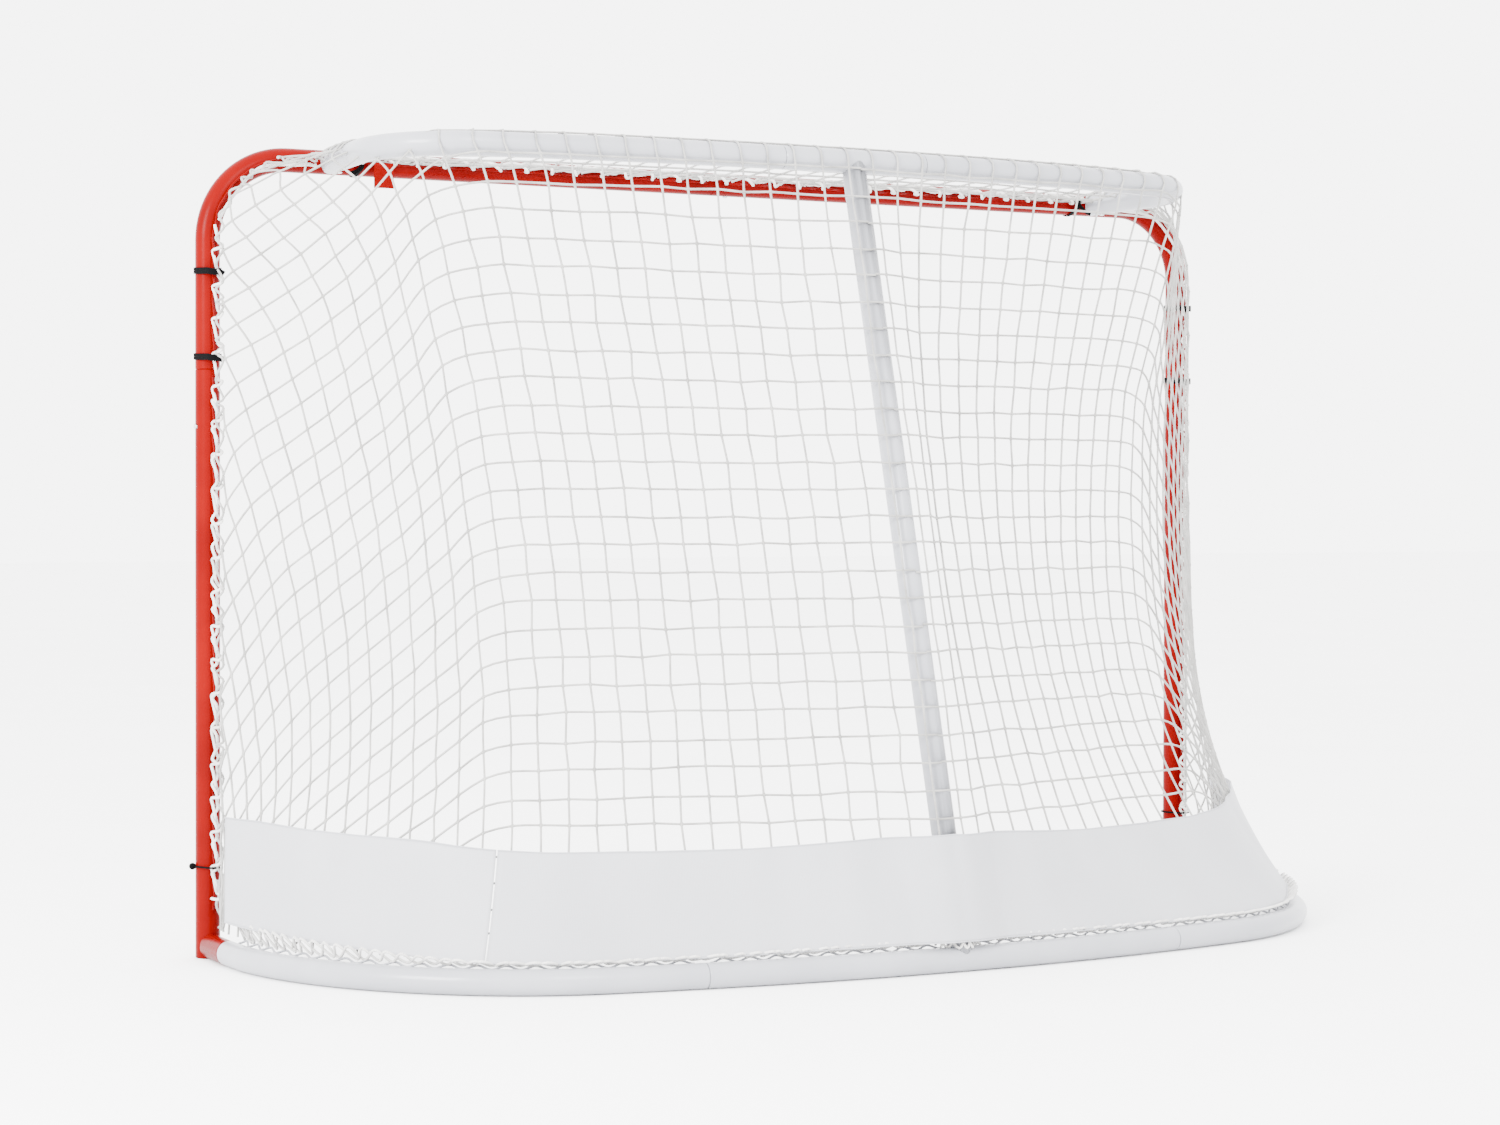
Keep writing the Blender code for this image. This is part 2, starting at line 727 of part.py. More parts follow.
def wire(name, path, away, paint):
    near = TUBE_R + FIT + WIRE_R
    points = wave(path, away, near, near + WIRE_STANDOFF)
    obj = curve_mesh(name, points, WIRE_R, 0, PARTS)
    return finish_part(obj, paint)


def rearward(_share):
    return Vector((0, 1, 0))


def dense(points, step):
    run = lengths(points)
    count = max(1, round(run[-1] / step))
    return [point_at(points, run, run[-1] * i / count) for i in range(count + 1)]


def rail_away(s0, s1, side):
    """The way from the base rail to its wire: inwards and up."""

    def away(share):
        _, _, inward = plan_place(RAIL, RAIL_RUN, s0 + (s1 - s0) * share, TUBE_R)
        level = mirrored(inward, side)
        return level * math.cos(RAIL_WIRE_ANGLE) + Vector((0, 0, math.sin(RAIL_WIRE_ANGLE)))

    return away


def rail_wire(name, s0, s1, side):
    path = [mirrored(world(p.x, p.y, TUBE_R), side) for p in stretch(RAIL, s0, s1, TURN / 3)]
    wire(name, path, rail_away(s0, s1, side), PAINT["white_powder"])


def lacing_wires():
    for word, side in (("left", 1), ("right", -1)):
        low = world(POST_X * side, 0, POST_WIRE_LOW_Z)
        high = world(POST_X * side, 0, POST_SEAM_Z - WIRE_END_GAP)
        wire(word + "_post_wire", [low, high], rearward, PAINT["red_enamel"])
        upper = upper_points(side, BAR_SEAM_X + WIRE_END_GAP * side)
        upper[0].z += WIRE_END_GAP
        run = lengths(upper)
        leg = run[-1] - abs(upper[-1].x - LEG_X * side)
        before, after = leg - WIRE_LEG_GAP, leg + WIRE_LEG_GAP
        outer = [point_at(upper, run, before * i / 24) for i in range(25)]
        wire(word + "_corner_wire", outer, rearward, PAINT["red_enamel"])
        inner = [point_at(upper, run, after), upper[-1]]
        wire(word + "_crossbar_wire", inner, rearward, PAINT["red_enamel"])
        rail_wire(word + "_rail_wire", STUB_LENGTH + WIRE_END_GAP, rail_s(RAIL_SEAM_X) - WIRE_END_GAP, side)
    middle = RAIL_RUN[-1] / 2
    for word, side in (("left", 1), ("right", -1)):
        rail_wire(word + "_rear_wire", rail_s(RAIL_SEAM_X) + WIRE_END_GAP, middle - STRUT_GAP, side)


def lace(name, path, away, inner, outer, held):
    """A cord to and fro between a wire and the net's edge. Where held says so, it stays by the wire."""
    run = lengths(path)
    loops = max(1, round(run[-1] / WELD_PITCH))
    points = []
    for i in range(2 * loops + 1):
        s = run[-1] * (i + 0.5) / (2 * loops + 1)
        place = point_at(path, run, s)
        reach = inner if held(place) or i % 2 == 0 else outer
        points.append(place + away(s / run[-1]) * reach)
    obj = curve_mesh(name, points, CORD_R, 0, PARTS)
    return finish_part(obj, PAINT["white_cord"])


def never(_place):
    return False


def by_strap(place):
    half = WELD_PITCH * 0.75
    heights = STRAP_Z + (TIE_Z,)
    on_post = any(abs(place.z - z) < half for z in heights)
    on_bar = place.z > BAR_Z - 0.01 and abs(abs(place.x) - BAR_STRAP_X) < half
    return on_post or on_bar


def lacing_cords():
    for word, side in (("left", 1), ("right", -1)):
        upper = upper_points(side, LEG_X * side)
        path = [world(POST_X * side, 0, LACE_LOW_Z)] + dense(upper, 0.02)
        run = lengths(path)
        path = [point_at(path, run, (run[-1] - LEG_GAP) * i / 60) for i in range(61)]
        lace(word + "_post_lacing", path, rearward, LACE_TOUCH, CORD_OUT, by_strap)
    bar_path = [world((LEG_X - LEG_GAP) * side, 0, BAR_Z) for side in (1, -1)]
    lace("crossbar_lacing", bar_path, rearward, LACE_TOUCH, CORD_OUT, by_strap)


def rail_lacing():
    """The base cord: over the wire and up to the net's lower edge."""
    s0 = STUB_LENGTH + RAIL_LACE_START
    for word, side in (("left", 1), ("right", -1)):
        s1 = RAIL_RUN[-1] / 2 - STRUT_GAP
        path = [mirrored(world(p.x, p.y, TUBE_R), side) for p in stretch(RAIL, s0, s1, TURN / 3)]
        away = rail_away(s0, s1, side)
        lace(word + "_rail_lacing", path, away, LACE_TOUCH, LACE_TOUCH + RAIL_LACE_RISE, never)


# ---------------------------------------------------------------- net and skirt


def frame_x(z):
    """How far out the post or its corner bend is at a height."""
    over = max(0.0, z - (BAR_Z - BEND_R))
    return POST_X - BEND_R + math.sqrt(max(0.0, BEND_R**2 - over**2))


def offset_curve(curve, distance):
    """A plan curve moved outwards."""
    moved = []
    for i, point in enumerate(curve):
        a = curve[max(0, i - 1)]
        b = curve[min(len(curve) - 1, i + 1)]
        along = (b - a).normalized()
        moved.append(point + Vector((along.y, -along.x)) * distance)
    return moved


def net_curves():
    """The net's plan at the shelf and at the base rail, each as the left half from the post to the middle."""
    shelf = offset_curve(SHELF[: len(SHELF) // 2 + 1], TUBE_R + NET_THICK / 2 + 0.002)
    rail = offset_curve(RAIL[: len(RAIL) // 2 + 1], NET_OUT)
    shelf = [Vector((POST_X, NET_FRONT_Y))] + [p for p in shelf if p.y > 0.12]
    rail = [p for p in rail if p.y > NET_FRONT_Y]
    return (shelf, lengths(shelf)), (rail, lengths(rail))


NET_HIGH, NET_LOW = net_curves()


def soft_curve():
    """The net's plan at the shelf with its corner rounded off by repeated averaging."""
    run = NET_HIGH[1][-1]
    points = [point_at(*NET_HIGH, run * i / SOFT_POINTS) for i in range(SOFT_POINTS + 1)]
    free = [i for i in range(1, SOFT_POINTS) if points[i].x >= SOFT_END_X]
    for _ in range(SOFT_PASSES):
        moved = list(points)
        for i in free:
            moved[i] = (points[i - 1] + points[i] * 2 + points[i + 1]) / 4
        points = moved
    return points, lengths(points)


NET_SOFT = soft_curve()


def net_base(u, z):
    """A point of the net's left half. u runs from 0 at the post to 1 behind the strut."""
    high = point_at(*NET_HIGH, u * NET_HIGH[1][-1])
    soft = point_at(*NET_SOFT, u * NET_SOFT[1][-1])
    high = high.lerp(soft, min(1.0, max(0.0, (SOFT_TOP_Z - z) / SOFT_DEPTH)))
    low = point_at(*NET_LOW, u * NET_LOW[1][-1])
    level = (z - TUBE_R) / (SHELF_Z - TUBE_R)
    power = 1 + (NET_SAG_POWER - 1) * min(1.0, (1 - u) * 2.2)
    share = max(0.0, 1 - level) ** power
    lean = (frame_x(z) - POST_X) * max(0.0, 1 - u * 3.5)
    point = high.lerp(low, share) + Vector((lean, 0))
    if u > STRUT_U:
        strut_y = SHELF_REAR_Y + (RAIL_REAR_Y - SHELF_REAR_Y) * (1 - level)
        point.y = max(point.y, strut_y + TUBE_R * 1.05 + NET_THICK)
    return Vector((point.x, point.y, z))


def net_point(u, z, outward):
    """The same point moved off the net's face, outwards."""
    step = 0.02
    ahead = net_base(min(1.0, u + step), z)
    behind = net_base(max(0.0, u - step), z)
    over = net_base(u, z + step)
    under = net_base(u, z - step)
    normal = (ahead - behind).cross(over - under).normalized()
    if normal.x + normal.y < 0:
        normal = -normal
    point = net_base(u, z) + normal * outward
    if u >= 1:
        point.x = 0
    return point


def shell(name, rows, thickness, paint):
    """A closed sheet of even thickness through rows of points."""
    mesh = bpy.data.meshes.new(name)
    width = len(rows[0])
    points = [p for row in rows for p in row]
    faces = []
    for j in range(len(rows) - 1):
        for i in range(width - 1):
            a = j * width + i
            faces.append((a, a + 1, a + 1 + width, a + width))
    mesh.from_pydata(points, [], faces)
    obj = bpy.data.objects.new(name, mesh)
    PARTS.objects.link(obj)
    solid = obj.modifiers.new("thickness", "SOLIDIFY")
    solid.thickness = thickness
    solid.offset = 0
    obj.data.materials.append(paint)
    obj.data.shade_smooth()
    return obj


def net_rows(columns, levels, side, outward):
    rows = []
    for z in levels:
        row = [net_point(u, z, outward) for u in columns]
        rows.append([world(p.x * side, p.y, p.z) for p in row])
    return rows


def across(left, right):
    """Rows that run on from the left half to the right half, which share their middle point."""
    return [a + b[::-1][1:] for a, b in zip(left, right)]


def net():
    cut = NET_SIDE_COLUMNS[-1]
    back = [cut + 0.0016] + NET_BACK_COLUMNS
    for word, side in (("left", 1), ("right", -1)):
        rows = net_rows(NET_SIDE_COLUMNS, NET_LEVELS, side, 0)
        shell(word + "_side_net", rows, NET_THICK, PAINT["white_cord"])
    rows = across(net_rows(back, NET_LEVELS, 1, 0), net_rows(back, NET_LEVELS, -1, 0))
    shell("back_net", rows, NET_THICK, PAINT["white_cord"])
    top_net()


def top_net():
    """The net over the shelf, flat on its tubes."""
    data = bpy.data.curves.new("top_net", "CURVE")
    data.dimensions = "2D"
    data.fill_mode = "BOTH"
    data.extrude = NET_THICK / 2
    outline = [p for p in offset_curve(SHELF, TUBE_R * 0.8) if p.y > NET_FRONT_Y]
    kept = [outline[0]] + [p for i, p in enumerate(outline[1:-1]) if i % 6 == 0] + [outline[-1]]
    kept = [Vector((kept[0].x, NET_FRONT_Y))] + kept + [Vector((kept[-1].x, NET_FRONT_Y))]
    spline = data.splines.new("POLY")
    spline.points.add(len(kept) - 1)
    spline.use_cyclic_u = True
    for target, point in zip(spline.points, kept):
        target.co = (point.x, point.y + GOAL_LINE_Y, 0, 1)
    obj = bpy.data.objects.new("top_net", data)
    obj.location = (0, 0, NET_TOP_Z)
    PARTS.objects.link(obj)
    data.materials.append(PAINT["white_cord"])


def edge_height(u, heights):
    """The height of one of the skirt's edges at share u of the way from the post to the middle."""
    i = max(k for k in range(len(SKIRT_U) - 1) if SKIRT_U[k] <= u)
    share = (u - SKIRT_U[i]) / (SKIRT_U[i + 1] - SKIRT_U[i])
    return heights[i] + (heights[i + 1] - heights[i]) * share


def skirt_rows(columns, side, outward):
    rows = []
    for share in SKIRT_ROWS:
        row = []
        for u in columns:
            low = edge_height(u, SKIRT_LOW)
            point = net_point(u, low + (edge_height(u, SKIRT_HIGH) - low) * share, outward)
            row.append(world(point.x * side, point.y, point.z))
        rows.append(row)
    return rows


def skirt():
    """The smooth band outside the net's lower edge, in two panels that meet at a welded seam."""
    outward = NET_THICK / 2 + SKIRT_THICK / 2 + 0.003
    gap = 0.0008
    side_columns = [0.012] + NET_SIDE_COLUMNS[1:]
    near = [u for u in NET_BACK_COLUMNS if u > SKIRT_SEAM_U]
    before = [u for u in NET_BACK_COLUMNS if u < SKIRT_SEAM_U]
    left = side_columns + before + [SKIRT_SEAM_U - gap]
    shell("skirt_left", skirt_rows(left, 1, outward), SKIRT_THICK, PAINT["white_vinyl"])
    rows = across(
        skirt_rows([SKIRT_SEAM_U + gap] + near, 1, outward),
        skirt_rows(side_columns + NET_BACK_COLUMNS, -1, outward),
    )
    shell("skirt_right", rows, SKIRT_THICK, PAINT["white_vinyl"])


# ---------------------------------------------------------------- straps, ties and tab


def band_outline(front_r, back_y, back_r, grow):
    """A taut loop round a tube and the wire behind it, as points about the tube's axis. +Y is behind."""
    steps = 10
    centre_y = back_y - back_r
    lean = math.asin((front_r - back_r) / centre_y)
    points = []
    for i in range(steps + 1):
        turn = math.pi - lean + (math.pi + 2 * lean) * i / steps
        points.append(Vector((math.cos(turn), math.sin(turn))) * (front_r + grow))
    for i in range(steps + 1):
        turn = lean + (math.pi - 2 * lean) * i / steps
        points.append(Vector((0, centre_y)) + Vector((math.cos(turn), math.sin(turn))) * (back_r + grow))
    return points


def strap(name, centre, axis):
    """A webbing strap round a tube, its wire and its lacing."""
    inner = band_outline(TUBE_R + FIT * 2, STRAP_BACK, STRAP_BACK_R, 0)
    outer = band_outline(TUBE_R + FIT * 2, STRAP_BACK, STRAP_BACK_R, STRAP_THICK)
    count = len(inner)
    mesh = bpy.data.meshes.new(name)
    shape = bmesh.new()
    rings = []
    for outline, z in ((inner, -1), (outer, -1), (outer, 1), (inner, 1)):
        rings.append([shape.verts.new((p.x, p.y, z * STRAP_WIDTH / 2)) for p in outline])
    for ring, following in zip(rings, rings[1:] + rings[:1]):
        for i in range(count):
            j = (i + 1) % count
            shape.faces.new((ring[i], ring[j], following[j], following[i]))
    bmesh.ops.recalc_face_normals(shape, faces=shape.faces)
    shape.to_mesh(mesh)
    shape.free()
    obj = bpy.data.objects.new(name, mesh)
    turn = Matrix.Rotation(math.pi / 2, 4, "Y") if axis == "X" else Matrix.Identity(4)
    obj.matrix_world = Matrix.Translation(centre) @ turn
    PARTS.objects.link(obj)
    return finish_part(obj, PAINT["black_webbing"])


def tie(name, centre, side):
    """An elastic loop round the post's foot end, closed with a ball on its outer side."""
    grow = TIE_R + FIT
    outline = band_outline(TUBE_R + FIT * 2, STRAP_BACK, STRAP_BACK_R, grow)
    start = Vector((side * (TUBE_R + grow), 0.004))
    ordered = outline if side < 0 else [Vector((-p.x, p.y)) for p in outline]
    points = [centre + Vector((p.x, p.y, 0)) for p in ordered]
    obj = curve_mesh(name, points, TIE_R, 1, PARTS)
    bpy.ops.mesh.primitive_uv_sphere_add(segments=12, ring_count=8, radius=TIE_BALL_R)
    ball = bpy.context.object
    ball.name = name + "_ball"
    ball.location = centre + Vector((start.x + side * TIE_BALL_R * 0.55, start.y - 0.008, 0))
    combine(obj, ball, "UNION")
    return finish_part(obj, PAINT["black_webbing"])


def straps():
    for word, side in (("left", 1), ("right", -1)):
        for level, z in zip(("upper", "lower"), STRAP_Z):
            strap(f"{word}_{level}_strap", world(POST_X * side, 0, z), "Z")
        strap(f"{word}_crossbar_strap", world(BAR_STRAP_X * side, 0, BAR_Z), "X")
        tie(f"{word}_tie", world(POST_X * side, 0, TIE_Z), side)


def tab():
    """The small cloth tab that hangs from the crossbar."""
    bpy.ops.mesh.primitive_cube_add(size=1)
    obj = in_collection(bpy.context.object, PARTS)
    obj.name = "crossbar_tab"
    obj.data.transform(Matrix.Diagonal((TAB_WIDTH, TAB_THICK, TAB_DROP, 1)))
    obj.location = world(TAB_X, 0.0445, BAR_Z - TAB_DROP / 2)
    bevel = obj.modifiers.new("edge", "BEVEL")
    bevel.width = 0.0002
    return finish_part(obj, PAINT["red_cloth"])


def build():
    for word, side in (("left", 1), ("right", -1)):
        post(word + "_post", side)
        upper_frame(word + "_upper_frame", side)
        base_rail_side("base_rail_" + word, side)
        shelf_side("shelf_" + word, side)
        screw(word + "_shelf_screw", leg_screw_place(side), Vector((0, 0, 1)))
    top, bottom = strut_ends()
    down = (bottom - top).normalized()
    white = PAINT["white_powder"]
    shelf_outs = (shelf_joint(1)[1], shelf_joint(-1)[1])
    rail_outs = (rail_joint(1)[1], rail_joint(-1)[1])
    tee = curved_middle("shelf_tee", tee_points(), shelf_outs, (top, down), white)
    rail_middle = curved_middle("base_rail_middle", rail_middle_points(), rail_outs, (bottom, -down), white)
    for side in (1, -1):
        cut_hole(rail_middle, *rail_button(side))
    upper_screw, lower_screw = strut_screw_places()
    cut_screw_hole(tee, upper_screw, Vector((1, 0, 0)))
    cut_screw_hole(rail_middle, lower_screw, Vector((1, 0, 0)))
    centre_strut()
    screw("strut_upper_screw", upper_screw, Vector((1, 0, 0)))
    screw("strut_lower_screw", lower_screw, Vector((1, 0, 0)))
    snap_joints()
    lacing_wires()
    lacing_cords()
    rail_lacing()
    net()
    skirt()
    straps()
    tab()


clear_scene()
PARTS = new_collection("hockey_goal")
CUTTERS = new_collection("cutters")
PAINT = {
    "red_enamel": material("red_enamel", RED, 0.25, 0.0),
    "white_powder": material("white_powder", WHITE, 0.28, 0.0),
    "spring_steel": material("spring_steel", STEEL, 0.3, 1.0),
    "zinc_steel": material("zinc_steel", STEEL, 0.35, 1.0),
    "white_cord": material("white_cord", CORD_WHITE, 0.85, 0.0),
    "white_vinyl": material("white_vinyl", VINYL, 0.45, 0.0),
    "black_webbing": material("black_webbing", BLACK, 0.8, 0.0),
    "red_cloth": material("red_cloth", RED, 0.8, 0.0),
}
build()
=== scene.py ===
import json
import math

import bpy
import numpy as np
from mathutils import Matrix, Vector

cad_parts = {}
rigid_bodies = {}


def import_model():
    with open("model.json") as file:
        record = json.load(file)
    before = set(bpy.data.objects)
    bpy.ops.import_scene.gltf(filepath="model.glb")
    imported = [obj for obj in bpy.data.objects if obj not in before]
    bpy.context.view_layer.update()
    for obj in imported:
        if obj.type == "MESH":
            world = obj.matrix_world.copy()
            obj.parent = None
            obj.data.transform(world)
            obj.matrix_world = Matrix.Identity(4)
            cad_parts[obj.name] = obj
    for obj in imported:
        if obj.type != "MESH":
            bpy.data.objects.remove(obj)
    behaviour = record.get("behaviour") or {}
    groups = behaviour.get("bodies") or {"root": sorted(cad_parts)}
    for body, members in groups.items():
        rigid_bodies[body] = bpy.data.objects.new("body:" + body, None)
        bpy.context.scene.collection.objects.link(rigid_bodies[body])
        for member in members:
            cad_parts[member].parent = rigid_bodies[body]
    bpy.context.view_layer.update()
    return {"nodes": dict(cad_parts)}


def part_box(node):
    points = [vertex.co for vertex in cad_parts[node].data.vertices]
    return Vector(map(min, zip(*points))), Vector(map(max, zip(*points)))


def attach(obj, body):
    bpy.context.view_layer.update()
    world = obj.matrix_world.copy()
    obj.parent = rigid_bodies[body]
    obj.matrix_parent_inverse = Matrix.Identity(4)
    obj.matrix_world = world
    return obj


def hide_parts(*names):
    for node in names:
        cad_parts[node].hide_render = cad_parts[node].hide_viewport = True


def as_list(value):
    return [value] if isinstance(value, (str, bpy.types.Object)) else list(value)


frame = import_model()
RNG = np.random.default_rng(11)

# ---------------------------------------------------------------- sizes, in metres

TUBE_R = 0.019
WALL = 0.0015
FIT = 0.0003
BEND_R = 0.13
SPIGOT_R = TUBE_R - WALL - FIT * 1.7
SPIGOT_LENGTH = 0.06
STUB_LENGTH = 0.105
POST_SPIGOT = 0.115
STRAIGHT_END = 0.075
FOOT_PLATE = 0.002
TUBE_SIDES = 40
SPIGOT_SIDES = 32
CHAMFER = 0.0011

UPPER_LOW, UPPER_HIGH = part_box("left_upper_frame")
POST_X = UPPER_HIGH[0] - TUBE_R
BAR_Z = UPPER_HIGH[2] - TUBE_R
GOAL_LINE_Y = UPPER_LOW[1] + TUBE_R
BAR_SEAM_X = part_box("right_upper_frame")[1][0]
POST_SEAM_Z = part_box("left_post")[1][2]
SHELF_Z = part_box("shelf_tee")[1][2] - TUBE_R
LEG_X = 0.733

# Plan curves: corner x, rear y, bow of the rear and length of the corner.
RAIL_PLAN = (0.9696, 0.6975, 0.1793, 0.4107, 40)
SHELF_PLAN = (0.7599, 0.3824, 0.1424, 0.1353, 24)
RAIL_SEAM_X = 0.423
TEE_HALF = 0.13

WIRE_R = 0.00175
WELD_PITCH = 0.045
WIRE_STANDOFF = 0.007
RAIL_WIRE_ANGLE = math.radians(50)
POST_WIRE_LOW_Z = 0.075
WIRE_END_GAP = 0.012
WIRE_LEG_GAP = 0.03
STRUT_GAP = 0.028

CELL = 0.042
CORD_R = 0.0017
KNOT_R = 0.0026
LACE_R = 0.0023

# The skirt's lower and upper edges at shares of the way from the post to the middle.
SKIRT_U = (0.0, 0.25, 0.41, 0.6, 0.8, 1.0)
SKIRT_LOW = (0.070, 0.057, 0.045, 0.044, 0.046, 0.048)
SKIRT_HIGH = (0.225, 0.211, 0.195, 0.189, 0.195, 0.206)
SKIRT_SEAM_U = 0.41

BUTTON_HOLE_R = 0.0046

CAMERA_PLACE = (2.796, 4.866 + GOAL_LINE_Y, 0.714)
CAMERA_YAW = math.radians(-30.2)
CAMERA_PITCH = math.radians(-1.12)
CAMERA_ROLL = math.radians(0.15)
CAMERA_LENS = 79.9
CAMERA_SENSOR = 36.0

AIR_LIGHT = 6.5
KEY_PLACE, KEY_POWER = (5.2, 2.0, 2.6), 900
FILL_PLACE, FILL_POWER = (1.0, 4.5, 4.2), 300
LIGHT_SIZE = 2.0
LIGHT_TARGET = (0, 0, 0.6)
FLOOR_SIZE = 60
FLOOR_DROP = 0.0005


# ---------------------------------------------------------------- camera, light and floor


def camera():
    level = math.cos(CAMERA_PITCH)
    forward = Vector((math.sin(CAMERA_YAW) * level, -math.cos(CAMERA_YAW) * level, math.sin(CAMERA_PITCH)))
    right = forward.cross(Vector((0, 0, 1))).normalized()
    up = right.cross(forward)
    c, s = math.cos(CAMERA_ROLL), math.sin(CAMERA_ROLL)
    right, up = right * c + up * s, up * c - right * s
    data = bpy.data.cameras.new("camera")
    data.lens = CAMERA_LENS
    data.sensor_width = CAMERA_SENSOR
    obj = bpy.data.objects.new("camera", data)
    turn = Matrix((right, up, -forward)).transposed().to_4x4()
    obj.matrix_world = Matrix.Translation(CAMERA_PLACE) @ turn
    bpy.context.scene.collection.objects.link(obj)
    bpy.context.scene.camera = obj


def area_light(name, place, power):
    data = bpy.data.lights.new(name, "AREA")
    data.shape = "RECTANGLE"
    data.size = data.size_y = LIGHT_SIZE
    data.energy = power
    obj = bpy.data.objects.new(name, data)
    obj.location = place
    way = Vector(LIGHT_TARGET) - obj.location
    obj.rotation_euler = way.to_track_quat("-Z", "Y").to_euler()
    bpy.context.scene.collection.objects.link(obj)


def studio():
    world = bpy.data.worlds.new("studio")
    bpy.context.scene.world = world
    world.use_nodes = True
    back = world.node_tree.nodes["Background"]
    back.inputs["Color"].default_value = (1.0, 1.0, 1.0, 1.0)
    back.inputs["Strength"].default_value = AIR_LIGHT
    area_light("key", KEY_PLACE, KEY_POWER)
    area_light("fill", FILL_PLACE, FILL_POWER)
    bpy.ops.mesh.primitive_plane_add(size=FLOOR_SIZE, location=(0, 0, -FLOOR_DROP))
    floor = bpy.context.object
    floor.name = "floor"
    floor.data.materials.append(floor_paint())


# ---------------------------------------------------------------- materials


def nodes_of(name):
    made = bpy.data.materials.new(name)
    made.use_nodes = True
    tree = made.node_tree
    return made, tree, tree.nodes["Principled BSDF"]


def node(tree, kind, **values):
    made = tree.nodes.new(kind)
    for key, value in values.items():
        if key in made.inputs:
            made.inputs[key].default_value = value
        else:
            setattr(made, key, value)
    return made


def noise(tree, coords, scale, detail=3.0, rough=0.5):
    made = node(tree, "ShaderNodeTexNoise", Scale=scale, Detail=detail, Roughness=rough)
    tree.links.new(coords, made.inputs["Vector"])
    return made.outputs["Fac"]


def ramp(tree, value, low, high, at=(0.35, 0.65)):
    made = tree.nodes.new("ShaderNodeValToRGB")
    made.color_ramp.elements[0].position = at[0]
    made.color_ramp.elements[1].position = at[1]
    made.color_ramp.elements[0].color = (*low, 1.0)
    made.color_ramp.elements[1].color = (*high, 1.0)
    tree.links.new(value, made.inputs["Fac"])
    return made.outputs["Color"]


def colour(tree, shader, value):
    tree.links.new(value, shader.inputs["Base Color"])


def roughen(tree, shader, value, low, high):
    """Roughness that follows a pattern between two values."""
    made = node(tree, "ShaderNodeMapRange")
    made.inputs["To Min"].default_value = low
    made.inputs["To Max"].default_value = high
    tree.links.new(value, made.inputs["Value"])
    tree.links.new(made.outputs["Result"], shader.inputs["Roughness"])


def bump(tree, shader, height, strength, distance):
    made = node(tree, "ShaderNodeBump", Strength=strength, Distance=distance)
    tree.links.new(height, made.inputs["Height"])
    tree.links.new(made.outputs["Normal"], shader.inputs["Normal"])


def math_node(tree, kind, a, b=0.5):
    made = tree.nodes.new("ShaderNodeMath")
    made.operation = kind
    for socket, value in zip(made.inputs, (a, b)):
        if isinstance(value, (int, float)):
            socket.default_value = value
        else:
            tree.links.new(value, socket)
    return made.outputs[0]


def split_uv(tree):
    """The u and v outputs of a piece's map, which is in metres, and the map itself."""
    uv = tree.nodes.new("ShaderNodeTexCoord").outputs["UV"]
    split = tree.nodes.new("ShaderNodeSeparateXYZ")
    tree.links.new(uv, split.inputs["Vector"])
    return uv, split.outputs["X"], split.outputs["Y"]


def thread_wave(tree, value, rate):
    return math_node(tree, "SINE", math_node(tree, "MULTIPLY", value, rate))


def painted(name, deep, light, rough, grain, coat, shine):
    """Paint baked on a tube: a faint orange peel, worn a little lighter in patches."""
    made, tree, shader = nodes_of(name)
    coords = tree.nodes.new("ShaderNodeTexCoord").outputs["Object"]
    colour(tree, shader, ramp(tree, noise(tree, coords, 9.0, 5.0), deep, light))
    roughen(tree, shader, noise(tree, coords, 60.0), *rough)
    shader.inputs["Specular IOR Level"].default_value = shine
    shader.inputs["Coat Weight"].default_value = coat
    shader.inputs["Coat Roughness"].default_value = 0.12
    bump(tree, shader, noise(tree, coords, grain, 2.0), 0.12, 0.0004)
    return made


def corded(name, deep, light, strands, pitch):
    """Braided cord: u runs round it and v along it, in metres."""
    made, tree, shader = nodes_of(name)
    _, u, v = split_uv(tree)
    coords = tree.nodes.new("ShaderNodeTexCoord").outputs["Object"]
    round_it = math_node(tree, "MULTIPLY", u, math.tau * strands)
    along = math_node(tree, "MULTIPLY", v, math.tau / pitch)
    one = math_node(tree, "SINE", math_node(tree, "ADD", round_it, along))
    two = math_node(tree, "SINE", math_node(tree, "SUBTRACT", round_it, along))
    weave = math_node(tree, "MULTIPLY", one, two)
    fibre = noise(tree, coords, 900.0)
    height = math_node(tree, "ADD", weave, math_node(tree, "MULTIPLY", fibre, 0.6))
    # The colour is darker in the weave's grooves and lighter on its crests, which is painted shade, plus random
    # tone from the noise.
    groove_shade_and_tone = math_node(tree, "ADD", math_node(tree, "MULTIPLY", weave, 0.25), noise(tree, coords, 30.0, 4.0))
    colour(tree, shader, ramp(tree, groove_shade_and_tone, deep, light, (0.2, 0.7)))
    shader.inputs["Roughness"].default_value = 0.8
    shader.inputs["Sheen Weight"].default_value = 0.15
    bump(tree, shader, height, 0.5, 0.0004)
    return made


def woven(name, deep, light, pitch, rough):
    """Flat webbing or cloth: crossing threads on its u and v, in metres."""
    made, tree, shader = nodes_of(name)
    uv, u, v = split_uv(tree)
    rate = math.tau / pitch
    weave = math_node(tree, "MULTIPLY", thread_wave(tree, u, rate), thread_wave(tree, v, rate))
    # The colour is darker where the threads dip and lighter where they cross over, which is painted shade, plus
    # random tone from the noise.
    groove_shade_and_tone = math_node(tree, "ADD", math_node(tree, "MULTIPLY", weave, 0.2), noise(tree, uv, 60.0, 4.0))
    colour(tree, shader, ramp(tree, groove_shade_and_tone, deep, light, (0.3, 0.75)))
    shader.inputs["Roughness"].default_value = rough
    shader.inputs["Specular IOR Level"].default_value = 0.03
    bump(tree, shader, weave, 0.4, 0.0003)
    return made


SCRIM_PITCH = 0.0024


